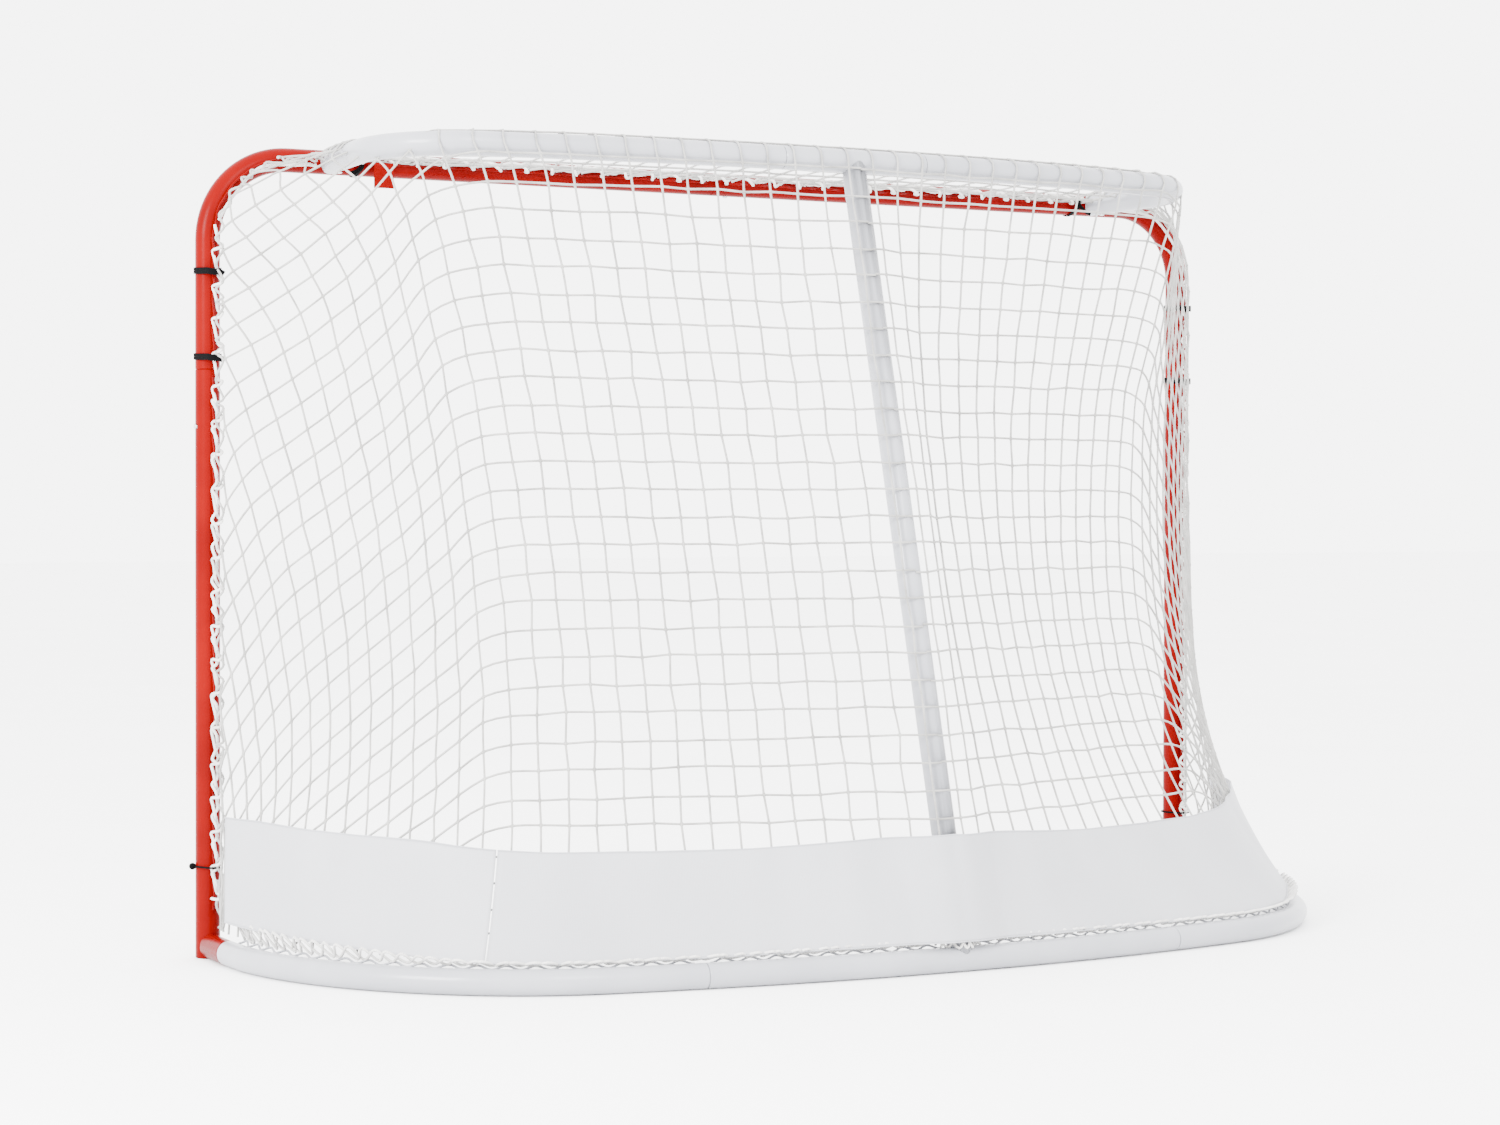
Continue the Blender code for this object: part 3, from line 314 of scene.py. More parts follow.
def vinyl_paint():
    """Coated sheet: a faint scrim under a smooth, slightly rippled skin."""
    made, tree, shader = nodes_of("white_vinyl")
    uv, u, v = split_uv(tree)
    rate = math.tau / SCRIM_PITCH
    scrim = math_node(tree, "MAXIMUM", thread_wave(tree, u, rate), thread_wave(tree, v, rate))
    folds = noise(tree, uv, 7.0, 2.0)
    height = math_node(tree, "ADD", math_node(tree, "MULTIPLY", scrim, 0.05), folds)
    colour(tree, shader, ramp(tree, noise(tree, uv, 3.0, 4.0), (0.305, 0.308, 0.328), (0.335, 0.338, 0.358)))
    roughen(tree, shader, noise(tree, uv, 12.0), 0.42, 0.58)
    bump(tree, shader, height, 0.35, 0.004)
    return made


def metal(name, tint):
    made, tree, shader = nodes_of(name)
    coords = tree.nodes.new("ShaderNodeTexCoord").outputs["Object"]
    colour(tree, shader, ramp(tree, noise(tree, coords, 200.0), [c * 0.8 for c in tint], tint))
    shader.inputs["Metallic"].default_value = 1.0
    roughen(tree, shader, noise(tree, coords, 500.0), 0.22, 0.42)
    return made


def floor_paint():
    made, tree, shader = nodes_of("studio_floor")
    coords = tree.nodes.new("ShaderNodeTexCoord").outputs["Object"]
    colour(tree, shader, ramp(tree, noise(tree, coords, 2.0), (0.93, 0.93, 0.93), (0.95, 0.95, 0.95)))
    shader.inputs["Roughness"].default_value = 0.9
    return made


RED = ((0.090, 0.0001, 0.0001), (0.120, 0.0001, 0.0001))
WHITE = ((0.245, 0.25, 0.272), (0.275, 0.28, 0.302))
NET_WHITE = ((0.13, 0.127, 0.121), (0.31, 0.304, 0.291))
LACE_WHITE = ((0.36, 0.352, 0.338), (0.60, 0.592, 0.575))
BLACK = ((0.0008, 0.0008, 0.001), (0.0022, 0.0022, 0.0026))
CLOTH_RED = ((0.125, 0.0004, 0.0003), (0.155, 0.0008, 0.0006))
PAINT = {
    "red": painted("red_enamel", *RED, (0.20, 0.32), 700.0, 0.0, 0.03),
    "white": painted("white_powder", *WHITE, (0.26, 0.40), 900.0, 0.2, 0.3),
    "cord": corded("net_cord", *NET_WHITE, 3, 0.004),
    "lace": corded("lacing_cord", *LACE_WHITE, 4, 0.0045),
    "vinyl": vinyl_paint(),
    "webbing": woven("black_webbing", *BLACK, 0.0016, 0.75),
    "cloth": woven("red_cloth", *CLOTH_RED, 0.0009, 0.8),
    "steel": metal("zinc_steel", (0.62, 0.62, 0.64)),
}

# ---------------------------------------------------------------- round bars and tubes as meshes


def frames(path):
    """Unit tangents and two unit sideways directions carried along the path without twist."""
    path = np.asarray(path, float)
    tangent = np.gradient(path, axis=0)
    tangent /= np.linalg.norm(tangent, axis=1)[:, None]
    start = np.eye(3)[np.argmin(np.abs(tangent[0]))]
    side = np.zeros_like(path)
    current = start - tangent[0] * start.dot(tangent[0])
    for k in range(len(path)):
        current = current - tangent[k] * current.dot(tangent[k])
        current = current / math.sqrt(current.dot(current))
        side[k] = current
    return tangent, side, np.cross(tangent, side)


class Mesh:
    """Closed shells gathered into one mesh with u round and v along."""

    def __init__(self):
        self.points, self.faces, self.uv, self.count = [], [], [], 0

    def rings(self, centres, side, over, radii, sides, closed=False, profile=None):
        if profile is None:
            turn = np.arange(sides) * math.tau / sides
            profile = np.stack([np.cos(turn), np.sin(turn)], 1)
        radii = np.broadcast_to(np.asarray(radii, float), (len(centres),))
        ring = side[:, None] * profile[None, :, :1] + over[:, None] * profile[None, :, 1:]
        self.points.append((centres[:, None] + ring * radii[:, None, None]).reshape(-1, 3))
        v = np.r_[0, np.linalg.norm(np.diff(centres, axis=0), axis=1).cumsum()]
        count = len(centres)
        rows = np.arange(count if closed else count - 1)
        follow = (rows + 1) % count
        k = np.arange(sides)
        a = rows[:, None] * sides + k
        b = rows[:, None] * sides + (k + 1) % sides
        c = follow[:, None] * sides + (k + 1) % sides
        d = follow[:, None] * sides + k
        self.faces += (np.stack([a, b, c, d], -1).reshape(-1, 4) + self.count).tolist()
        low = np.broadcast_to(v[rows][:, None], a.shape)
        high = np.broadcast_to(np.where(follow > rows, v[follow], v[rows])[:, None], a.shape)
        near = np.broadcast_to(k / sides, a.shape)
        far = near + 1 / sides
        self.uv.append(np.stack([near, low, far, low, far, high, near, high], -1).reshape(-1, 2))
        if not closed:
            first = self.count + np.arange(sides)[::-1]
            last = self.count + (count - 1) * sides + np.arange(sides)
            self.faces += [first.tolist(), last.tolist()]
            self.uv.append(np.stack([k / sides, np.full(sides, v[0])], 1))
            self.uv.append(np.stack([k / sides, np.full(sides, v[-1])], 1))
        self.count += count * sides

    def bar(self, path, radii, sides):
        path = np.asarray(path, float)
        _, side, over = frames(path)
        self.rings(path, side, over, radii, sides)

    def tube(self, path, outer, inner, sides=TUBE_SIDES):
        """A hollow tube with a small chamfer on each outer edge."""
        path = np.asarray(path, float)
        tangent, side, over = frames(path)
        order = [0] + list(range(len(path))) + [-1]
        centres = path[order].copy()
        centres[1] = path[0] + tangent[0] * CHAMFER
        centres[-2] = path[-1] - tangent[-1] * CHAMFER
        radii = np.full(len(order), outer)
        radii[[0, -1]] = outer - CHAMFER
        back = [-1] + list(range(len(path) - 2, -1, -1))
        centres = np.vstack([centres, path[back]])
        radii = np.r_[radii, np.full(len(back), inner)]
        order = order + back
        self.rings(centres, side[order], over[order], radii, sides, closed=True)

    def piece(self, name, paint, *nodes):
        points = np.vstack(self.points)
        mesh = bpy.data.meshes.new(name)
        mesh.from_pydata(points, [], self.faces)
        layer = mesh.uv_layers.new(name="UVMap")
        layer.data.foreach_set("uv", np.vstack(self.uv).astype(np.float32).ravel())
        mesh.shade_smooth()
        mesh.set_sharp_from_angle(angle=math.radians(40))
        mesh.materials.append(paint)
        obj = bpy.data.objects.new(name, mesh)
        bpy.context.scene.collection.objects.link(obj)
        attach(obj, "frame")
        if nodes:
            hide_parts(*nodes)
        return obj


def smooth(points, per):
    """A Catmull-Rom curve through the points, with per samples to each span."""
    p = np.asarray(points, float)
    p = np.vstack([2 * p[0] - p[1], p, 2 * p[-1] - p[-2]])
    steps = np.asarray(per) if np.ndim(per) else np.arange(per) / per
    t = steps[None, :, None]
    a, b, c, d = p[:-3, None], p[1:-2, None], p[2:-1, None], p[3:, None]
    square, cube = 2 * a - 5 * b + 4 * c - d, 3 * b - a - 3 * c + d
    q = 0.5 * (2 * b + (c - a) * t + square * t**2 + cube * t**3)
    return np.vstack([q.reshape(-1, p.shape[1]), p[-2]])


def run_of(path):
    return np.r_[0, np.linalg.norm(np.diff(path, axis=0), axis=1).cumsum()]


def at(path, s):
    run = run_of(path)
    return np.stack([np.interp(s, run, path[:, k]) for k in range(path.shape[1])], -1)


def placed(path):
    """From the goal line to the row frame."""
    return np.asarray(path, float) + np.array([0, GOAL_LINE_Y, 0])


# ---------------------------------------------------------------- the frame's curves


def plan_half(start, corner_x, rear_y, bow, corner, steps):
    """Half of a rail seen from above: a side line, a round corner and a bowed rear."""
    start = np.array(start, float)
    peak = np.array([corner_x, rear_y - bow * corner_x**2])
    side = (start - peak) / np.linalg.norm(start - peak)
    first = peak + side * min(corner, np.linalg.norm(start - peak) * 0.999)
    xs = corner_x * np.arange(120, -1, -1) / 120
    rear = np.stack([xs, rear_y - bow * xs * xs], 1)
    k = np.searchsorted(run_of(rear)[1:], corner) + 1
    last = rear[k]
    tangent = np.array([1, -2 * bow * last[0]])
    tangent /= np.linalg.norm(tangent)
    across = first - last
    reach = (across[0] * side[1] - across[1] * side[0]) / (tangent[0] * side[1] - tangent[1] * side[0])
    meet = last + tangent * reach
    t = np.linspace(0, 1, steps + 1)[:, None]
    one = first + (meet - first) * 0.5523
    two = last + (meet - last) * 0.5523
    arc = first * (1 - t) ** 3 + one * 3 * (1 - t) ** 2 * t + two * 3 * (1 - t) * t * t + last * t**3
    return np.vstack([start[None], arc, rear[k + 1 :]])


def both(half):
    return np.vstack([half, half[-2::-1] * [-1, 1]])


RAIL_HALF = plan_half((POST_X, 0), *RAIL_PLAN)
SHELF_HALF = plan_half((LEG_X, 0), *SHELF_PLAN)
RAIL = both(RAIL_HALF)
SHELF = both(SHELF_HALF)
REAR_Y = RAIL_PLAN[1]
SHELF_REAR_Y = SHELF_PLAN[1]


def s_at_x(curve, x):
    run = run_of(curve)
    past = np.argmax(curve[:, 0] < x)
    share = (curve[past - 1, 0] - x) / (curve[past - 1, 0] - curve[past, 0])
    return run[past - 1] + share * (run[past] - run[past - 1])


def part_of(curve, s0, s1, step=0.012):
    """The curve from s0 to s1, straight for a joint's length at both ends."""
    inner = np.linspace(s0 + STRAIGHT_END, s1 - STRAIGHT_END, max(2, round((s1 - s0) / step)))
    return at(curve, np.r_[s0, inner, s1])


def shelf_height(y):
    return BAR_Z + (SHELF_Z - BAR_Z) * np.clip(y / SHELF_REAR_Y, 0, 1)


def with_z(plan, z):
    return np.column_stack([plan, np.broadcast_to(z, len(plan))])


def corner_bend(turn, y):
    """The bend between a post and the crossbar."""
    centre_x, centre_z = POST_X - BEND_R, BAR_Z - BEND_R
    return np.stack([centre_x + BEND_R * np.cos(turn), y, centre_z + BEND_R * np.sin(turn)], 1)


def upper_path(end_x):
    turn = np.linspace(0, math.pi / 2, 22)
    return np.vstack([[POST_X, 0, POST_SEAM_Z], corner_bend(turn, 0 * turn), [end_x, 0, BAR_Z]])


def apply_cut(obj, cutter):
    """Cuts the cutter out of a piece and removes the cutter."""
    change = obj.modifiers.new("cut", "BOOLEAN")
    change.operation = "DIFFERENCE"
    change.solver = "EXACT"
    change.object = cutter
    bpy.context.view_layer.update()
    graph = bpy.context.evaluated_depsgraph_get()
    cut = obj.evaluated_get(graph)
    mesh = bpy.data.meshes.new_from_object(cut, preserve_all_data_layers=True, depsgraph=graph)
    obj.modifiers.remove(change)
    obj.data = mesh
    bpy.data.objects.remove(cutter, do_unlink=True)


def cutter_bar(path, radius, sides):
    made = Mesh()
    made.bar(path, radius, sides)
    mesh = bpy.data.meshes.new("cutter")
    mesh.from_pydata(np.vstack(made.points), [], made.faces)
    obj = bpy.data.objects.new("cutter", mesh)
    bpy.context.scene.collection.objects.link(obj)
    return obj


def line(a, b, count=2):
    return np.linspace(np.asarray(a, float), np.asarray(b, float), count)


def unit(v):
    v = np.asarray(v, float)
    return v / np.linalg.norm(v)


def hole(obj, place, out, radius):
    """A round hole through the near wall of a tube."""
    apply_cut(obj, cutter_bar(line(place + out * 0.008, place + out * TUBE_R * 1.4), radius, 24))


# ---------------------------------------------------------------- frame tubes

BUTTON_FROM_SEAM = 0.03
POST_BUTTON_Z = 0.821
BAR_BUTTON_X = 0.015
INNER = TUBE_R - WALL
SPIGOT_BORE = SPIGOT_R - WALL


def seam_of(curve, s, z, reach):
    """A seam on a plan curve and the level direction of its reduced end."""
    seam, out = at(curve, np.array([s, s + reach]))
    way = unit(np.r_[out - seam, 0])
    return placed([[seam[0], seam[1], z]])[0], way


STUB_SEAM, STUB_WAY = seam_of(RAIL, STUB_LENGTH, TUBE_R, FIT + STRAIGHT_END)
RAIL_SEAM, RAIL_WAY = seam_of(RAIL, s_at_x(RAIL, RAIL_SEAM_X), TUBE_R, -STRAIGHT_END)
TEE_SEAM, TEE_WAY = seam_of(SHELF, s_at_x(SHELF, TEE_HALF), SHELF_Z, -STRAIGHT_END)
STRUT_TOP = placed([[0, SHELF_REAR_Y, SHELF_Z]])[0]
STRUT_FOOT = placed([[0, REAR_Y, TUBE_R]])[0]
STRUT_WAY = unit(STRUT_FOOT - STRUT_TOP)


def mirror(v, side):
    return np.array([v[0] * side, v[1], v[2]])


def spigot(made, seam, way, length):
    made.tube(line(seam - way * 0.008, seam + way * length, 3), SPIGOT_R, SPIGOT_BORE, SPIGOT_SIDES)


def branch_spigot(made, root, way):
    """The reduced end of a short branch that leaves a tube at right angles."""
    ends = line(root + way * TUBE_R * 0.9, root + way * (TUBE_R + SPIGOT_LENGTH), 3)
    made.tube(ends, SPIGOT_R, SPIGOT_BORE, SPIGOT_SIDES)


def leg_way():
    plan = at(SHELF, np.array([TUBE_R * 0.5 + STRAIGHT_END]))[0]
    end = np.array([plan[0], plan[1], shelf_height(plan[1])])
    return unit(end - [LEG_X, 0, BAR_Z])


def inward_of(way, side):
    return unit([-way[1] * side, way[0] * side, 0])


def rail_inward(side):
    way = mirror(RAIL_WAY, side)
    inward = unit([way[1] * side, -way[0] * side, 0])
    return -inward if inward[1] > 0 else inward


def posts(word, side):
    foot = placed([[POST_X * side, 0, 0]])[0]
    top = np.array([foot[0], foot[1], POST_SEAM_Z])
    seam, way = mirror(STUB_SEAM, side), mirror(STUB_WAY, side)
    made = Mesh()
    made.tube(line(foot, top, 3), TUBE_R, INNER)
    made.bar(line(foot + [0, 0, 0.0003], foot + [0, 0, FOOT_PLATE]), INNER + 0.0004, TUBE_SIDES)
    root = foot + [0, 0, TUBE_R]
    made.tube(line(root + way * TUBE_R * 0.86, seam - way * FIT, 3), TUBE_R * 0.998, INNER)
    spigot(made, seam, way, SPIGOT_LENGTH)
    obj = made.piece(word + "_post_tube", PAINT["red"], word + "_post")
    hole(obj, placed([[POST_X * side, 0, POST_BUTTON_Z]])[0], np.array([side, 0, 0]), BUTTON_HOLE_R)
    made = Mesh()
    made.tube(placed(upper_path(BAR_SEAM_X * side) * [side, 1, 1]), TUBE_R, INNER)
    down = np.array([0, 0, -1.0])
    spigot(made, top, down, POST_SPIGOT)
    leg_root = placed([[LEG_X * side, 0, BAR_Z]])[0]
    branch_spigot(made, leg_root, mirror(leg_way(), side))
    if side > 0:
        spigot(made, placed([[BAR_SEAM_X, 0, BAR_Z]])[0], np.array([-1.0, 0, 0]), SPIGOT_LENGTH)
    obj = made.piece(word + "_upper_tube", PAINT["red"], word + "_upper_frame")
    hole(obj, placed([[BAR_BUTTON_X, 0, BAR_Z]])[0], down, BUTTON_HOLE_R)


def base_rail():
    end = s_at_x(RAIL, RAIL_SEAM_X)
    for word, side in (("left", 1), ("right", -1)):
        made = Mesh()
        path = placed(with_z(part_of(RAIL, STUB_LENGTH + FIT, end - FIT), TUBE_R))
        made.tube(path * [side, 1, 1], TUBE_R, INNER)
        obj = made.piece("base_rail_" + word + "_tube", PAINT["white"], "base_rail_" + word)
        way = mirror(STUB_WAY, side)
        hole(obj, mirror(STUB_SEAM, side) + way * BUTTON_FROM_SEAM, inward_of(way, side), BUTTON_HOLE_R)
        seam = mirror(RAIL_SEAM, side) + mirror(RAIL_WAY, side) * BUTTON_FROM_SEAM
        hole(obj, seam, rail_inward(side), BUTTON_HOLE_R)
    made = Mesh()
    plan = part_of(RAIL, end + FIT, s_at_x(RAIL, -RAIL_SEAM_X) - FIT)
    made.tube(placed(with_z(plan, TUBE_R)), TUBE_R, INNER)
    for side in (1, -1):
        spigot(made, mirror(RAIL_SEAM, side), mirror(RAIL_WAY, side), SPIGOT_LENGTH)
    branch_spigot(made, STRUT_FOOT, -STRUT_WAY)
    made.piece("base_rail_middle_tube", PAINT["white"], "base_rail_middle")


def shelf():
    end = s_at_x(SHELF, TEE_HALF)
    for word, side in (("left", 1), ("right", -1)):
        made = Mesh()
        plan = part_of(SHELF, TUBE_R * 0.5, end - FIT, 0.008)
        path = with_z(plan, shelf_height(plan[:, 1]))
        path[0] = np.array([LEG_X, 0, BAR_Z]) + leg_way() * TUBE_R * 0.5
        made.tube(placed(path) * [side, 1, 1], TUBE_R, INNER)
        obj = made.piece("shelf_" + word + "_tube", PAINT["white"], "shelf_" + word)
        bar = placed(line([(LEG_X - 0.1) * side, 0, BAR_Z], [(LEG_X + 0.1) * side, 0, BAR_Z]))
        apply_cut(obj, cutter_bar(bar, TUBE_R + FIT, TUBE_SIDES))
    made = Mesh()
    plan = part_of(SHELF, end + FIT, s_at_x(SHELF, -TEE_HALF) - FIT)
    tee = placed(with_z(plan, SHELF_Z))
    made.tube(tee, TUBE_R, INNER)
    for side in (1, -1):
        spigot(made, mirror(TEE_SEAM, side), mirror(TEE_WAY, side), SPIGOT_LENGTH)
    branch_spigot(made, STRUT_TOP, STRUT_WAY)
    made.piece("shelf_tee_tube", PAINT["white"], "shelf_tee")
    made = Mesh()
    made.tube(line(STRUT_TOP, STRUT_FOOT, 3), TUBE_R, INNER)
    obj = made.piece("centre_strut_tube", PAINT["white"], "centre_strut")
    rail = part_of(RAIL, s_at_x(RAIL, RAIL_SEAM_X) + FIT, s_at_x(RAIL, -RAIL_SEAM_X) - FIT)
    for met in (tee, placed(with_z(rail, TUBE_R))):
        apply_cut(obj, cutter_bar(met, TUBE_R + FIT * 2, TUBE_SIDES))


# ---------------------------------------------------------------- wavy lacing wires

NEAR = TUBE_R + FIT + WIRE_R


def wavy(name, path, away, paint, node):
    """A wire that touches a tube at each weld and stands off between them."""
    loops = max(1, round(run_of(path)[-1] / WELD_PITCH))
    share = np.linspace(0, 1, loops * 10 + 1)
    spots = at(path, share * run_of(path)[-1])
    lift = NEAR + WIRE_STANDOFF * (0.5 - 0.5 * np.cos(share * loops * math.tau))
    made = Mesh()
    made.bar(placed(spots + away(spots) * lift[:, None]), WIRE_R, 10)
    made.piece(name, paint, node)


def rearward(spots):
    return np.tile([0.0, 1.0, 0.0], (len(spots), 1))


def over_rail(spots):
    """The way from the base rail to its wire, inwards and up."""
    tangent = np.gradient(spots, axis=0)
    inward = np.stack([-tangent[:, 1], tangent[:, 0], 0 * tangent[:, 0]], 1)
    inward /= np.linalg.norm(inward, axis=1)[:, None]
    middle = np.array([0, 0.2, 0])
    inward *= np.sign(((middle - spots) * inward).sum(1))[:, None]
    return inward * math.cos(RAIL_WIRE_ANGLE) + np.array([0, 0, math.sin(RAIL_WIRE_ANGLE)])


def cut_path(path, s0, s1, step=0.006):
    return at(path, np.arange(s0, s1, step))


def wires():
    middle = run_of(RAIL)[-1] / 2
    end = s_at_x(RAIL, RAIL_SEAM_X)
    rail = with_z(RAIL, TUBE_R)
    for word, side in (("left", 1), ("right", -1)):
        flat = [side, 1.0, 1.0]
        post = line([POST_X * side, 0, POST_WIRE_LOW_Z], [POST_X * side, 0, POST_SEAM_Z - WIRE_END_GAP], 100)
        upper = upper_path((BAR_SEAM_X + WIRE_END_GAP * side) * side)
        upper[0, 2] += WIRE_END_GAP
        length = run_of(upper)[-1]
        leg = length - abs(upper[-1, 0] - LEG_X)
        runs = (
            ("post", post, rearward, "red"),
            ("corner", cut_path(upper, 0, leg - WIRE_LEG_GAP) * flat, rearward, "red"),
            ("crossbar", cut_path(upper, leg + WIRE_LEG_GAP, length) * flat, rearward, "red"),
            ("rail", cut_path(rail, STUB_LENGTH + WIRE_END_GAP, end - WIRE_END_GAP) * flat, over_rail, "white"),
            ("rear", cut_path(rail, end + WIRE_END_GAP, middle - STRUT_GAP) * flat, over_rail, "white"),
        )
        for name, path, away, paint in runs:
            wavy(f"{word}_{name}_rod", path, away, PAINT[paint], f"{word}_{name}_wire")


# ---------------------------------------------------------------- the net's surface

HUG = TUBE_R + CORD_R + 0.0004
SAG_POWER = 4.2
SOFT_PASSES = 2400
SOFT_TOP_Z = 1.21
SOFT_DEPTH = 0.33
NET_LOW_Z = 0.050
ACROSS = np.linspace(0, 1, 161)


def outwards(curve, distance):
    along = np.gradient(curve, axis=0)
    along /= np.linalg.norm(along, axis=1)[:, None]
    return curve + np.stack([along[:, 1], -along[:, 0]], 1) * distance


def plan_edges():
    """The net's plan at the shelf and at the base rail, from the post to the middle."""
    high = outwards(SHELF_HALF, HUG)
    high = np.vstack([[POST_X - 0.004, 0.045], high[high[:, 1] > 0.20]])
    low = outwards(RAIL_HALF, 0.008)
    low = low[low[:, 1] > 0.045]
    high = at(high, ACROSS * run_of(high)[-1])
    low = at(low, ACROSS * run_of(low)[-1])
    high = eased(high, 150, high[:, 0] < 0.70)
    return high, eased(high, SOFT_PASSES, high[:, 0] < 0.22), low


def eased(curve, passes, fixed):
    """The curve rounded off by repeated averaging, apart from its fixed points."""
    for _ in range(passes):
        rounder = curve.copy()
        rounder[1:-1] = (curve[:-2] + 2 * curve[1:-1] + curve[2:]) / 4
        rounder[fixed] = curve[fixed]
        curve = rounder
    return curve


PLAN_HIGH, PLAN_SOFT, PLAN_LOW = plan_edges()


def frame_x(z):
    over = np.clip(z - (BAR_Z - BEND_R), 0, BEND_R)
    return POST_X - BEND_R + np.sqrt(np.maximum(0, BEND_R**2 - over**2))


def outline(z):
    """The net's plan at each height in z, with the strut standing through it in the middle."""
    level = (z - TUBE_R) / (SHELF_Z - TUBE_R)
    power = 1 + (SAG_POWER - 1) * np.minimum(1, (1 - ACROSS) * 2.2)
    share = np.maximum(0, 1 - level)[:, None] ** power[None]
    soft = np.clip((SOFT_TOP_Z - z) / SOFT_DEPTH, 0, 1)[:, None, None]
    plan = PLAN_HIGH[None] + (PLAN_SOFT - PLAN_HIGH)[None] * soft
    plan = plan + (PLAN_LOW[None] - plan) * share[..., None]
    plan[..., 0] += (frame_x(z) - POST_X)[:, None] * np.maximum(0, 1 - ACROSS * 3.5)[None]
    strut = SHELF_REAR_Y + (REAR_Y - SHELF_REAR_Y) * (1 - level) + HUG
    ridge = np.clip(1.35 - np.abs(plan[..., 0]) / 0.06, 0, 1)
    plan[..., 1] += (np.maximum(plan[..., 1], strut[:, None]) - plan[..., 1]) * ridge
    return plan


POLE_Y = -0.3
MOST_BEARING = 1.212
HEIGHTS = np.linspace(-0.05, 1.30, 60)
BEARINGS = np.linspace(0, 1.25, 181)


def reach_table():
    """The net's distance from an upright pole inside the goal, by height and bearing."""
    table = []
    for z, plan in zip(HEIGHTS, outline(HEIGHTS)):
        plan = np.vstack([[float(frame_x(z)) - 0.002, 0.042], plan])
        bearing = np.arctan2(plan[:, 0], plan[:, 1] - POLE_Y)
        order = np.argsort(bearing)
        table.append(np.interp(BEARINGS, bearing[order], np.hypot(plan[:, 0], plan[:, 1] - POLE_Y)[order]))
    return np.array(table)


REACH = reach_table()


def reach(bearing, z):
    a = np.clip((z - HEIGHTS[0]) / (HEIGHTS[1] - HEIGHTS[0]), 0, len(HEIGHTS) - 1.001)
    b = np.clip(bearing / (BEARINGS[1] - BEARINGS[0]), 0, len(BEARINGS) - 1.001)
    i, j = a.astype(int), b.astype(int)
    a, b = a - i, b - j
    low = REACH[i, j] * (1 - b) + REACH[i, j + 1] * b
    high = REACH[i + 1, j] * (1 - b) + REACH[i + 1, j + 1] * b
    return low * (1 - a) + high * a


def shelf_top(x, y):
    """The height of the net laid over the crossbar, the legs and the shelf's rear."""
    t = np.clip((y - 0.04) / 0.30, 0, 1)
    flat = 1.241 + (SHELF_Z + HUG - 1.241) * t
    leg_x = LEG_X + 0.027 * np.clip(y / 0.3, 0, 1)
    off = np.abs(np.abs(x) - leg_x)
    over_leg = shelf_height(y) + np.sqrt(np.maximum(0, HUG**2 - off**2)) - 0.9 * np.maximum(0, off - HUG)
    return np.maximum(flat, over_leg)


def on_surface(points):
    """Points moved onto the net's surface: its sides and back, its top, and the round between them."""
    x, y, z = points.T
    side = np.where(x < 0, -1.0, 1.0)
    bearing = np.minimum(np.arctan2(np.abs(x), y - POLE_Y), MOST_BEARING)
    rho = np.hypot(x, y - POLE_Y)
    d = reach(bearing, z) - rho
    h = shelf_top(x, y) - z
    a, b = d - HUG, h - HUG
    scale = HUG / np.maximum(np.hypot(a, b), 1e-6)
    corner = (a < 0) & (b < 0)
    level = ~corner & (b >= 0) & ((a < b) | (a < 0))
    new_d = np.where(corner, a * scale + HUG, np.where(level, 0, d))
    new_h = np.where(corner, b * scale + HUG, np.where(level, h, 0))
    rho = rho + d - new_d
    return np.stack([rho * np.sin(bearing) * side, POLE_Y + rho * np.cos(bearing), z + h - new_h], 1)


# ---------------------------------------------------------------- the net's lattice

MIDDLE = 14.5
STEP_TOP = 0.0470
MOST = (0.0418, 0.0455)
REST = (0.0417, 0.0425)
LEAST = 0.036
PIN_Z = 1.2315
ROUNDS = 400


def frame_line():
    """Where the net's edge is held: along the crossbar from its middle, round the corner and down the post."""
    raised = line([0, 0.040, BAR_Z + 0.007], [LEG_X - 0.05, 0.040, BAR_Z + 0.007], 34)
    bar = np.vstack([raised, [POST_X - BEND_R - 0.01, 0.040, BAR_Z + 0.001]])
    turn = np.linspace(math.pi / 2, 0, 30)[1:]
    bend = corner_bend(turn, 0 * turn + 0.041)
    post = line([POST_X, 0.042, BAR_Z - BEND_R], [POST_X, 0.042, 0.0], 40)[1:]
    return np.vstack([bar, bend, post])


HELD = frame_line()
HELD_RUN = run_of(HELD)[-1]
# The net's edge as lattice column, lattice row and distance along the frame line.
EDGE = [
    (MIDDLE, -10.0, 0.0),
    (1.0, -10.0, STEP_TOP * (MIDDLE - 1)),
    (-1.0, -10.0, 0.715),
    (-7.0, -6.0, POST_X - BEND_R + BEND_R * 1.117),
    (-10.3, 0.0, HELD_RUN - 0.922),
    (-17.0, 12.0, HELD_RUN - 0.221),
    (-19.3, 16.0, HELD_RUN - 0.005),
]
FOOT = [(-14.0, 20.0), (-8.0, 25.5), (-2.0, 28.5)]


def within(i, j, outline_points):
    hit = np.zeros(i.shape, bool)
    for (x0, y0), (x1, y1) in zip(outline_points, outline_points[1:] + outline_points[:1]):
        if y0 != y1:
            hit ^= ((y0 > j) != (y1 > j)) & (i < x0 + (j - y0) * (x1 - x0) / (y1 - y0))
    return hit


def edge_crossings():
    """Each lattice line's meeting with the net's edge: (is a column, index, the other coordinate, distance)."""
    found = []
    for (i0, j0, s0), (i1, j1, s1) in zip(EDGE, EDGE[1:]):
        for column, a0, a1, b0, b1 in ((True, i0, i1, j0, j1), (False, j0, j1, i0, i1)):
            if a0 == a1:
                continue
            low, high = min(a0, a1), max(a0, a1)
            for k in range(math.ceil(low - 1e-9), math.floor(high - 1e-9) + 1):
                t = (k - a0) / (a1 - a0)
                found.append((column, k, b0 + (b1 - b0) * t, s0 + (s1 - s0) * t))
    return sorted(found, key=lambda c: c[3])


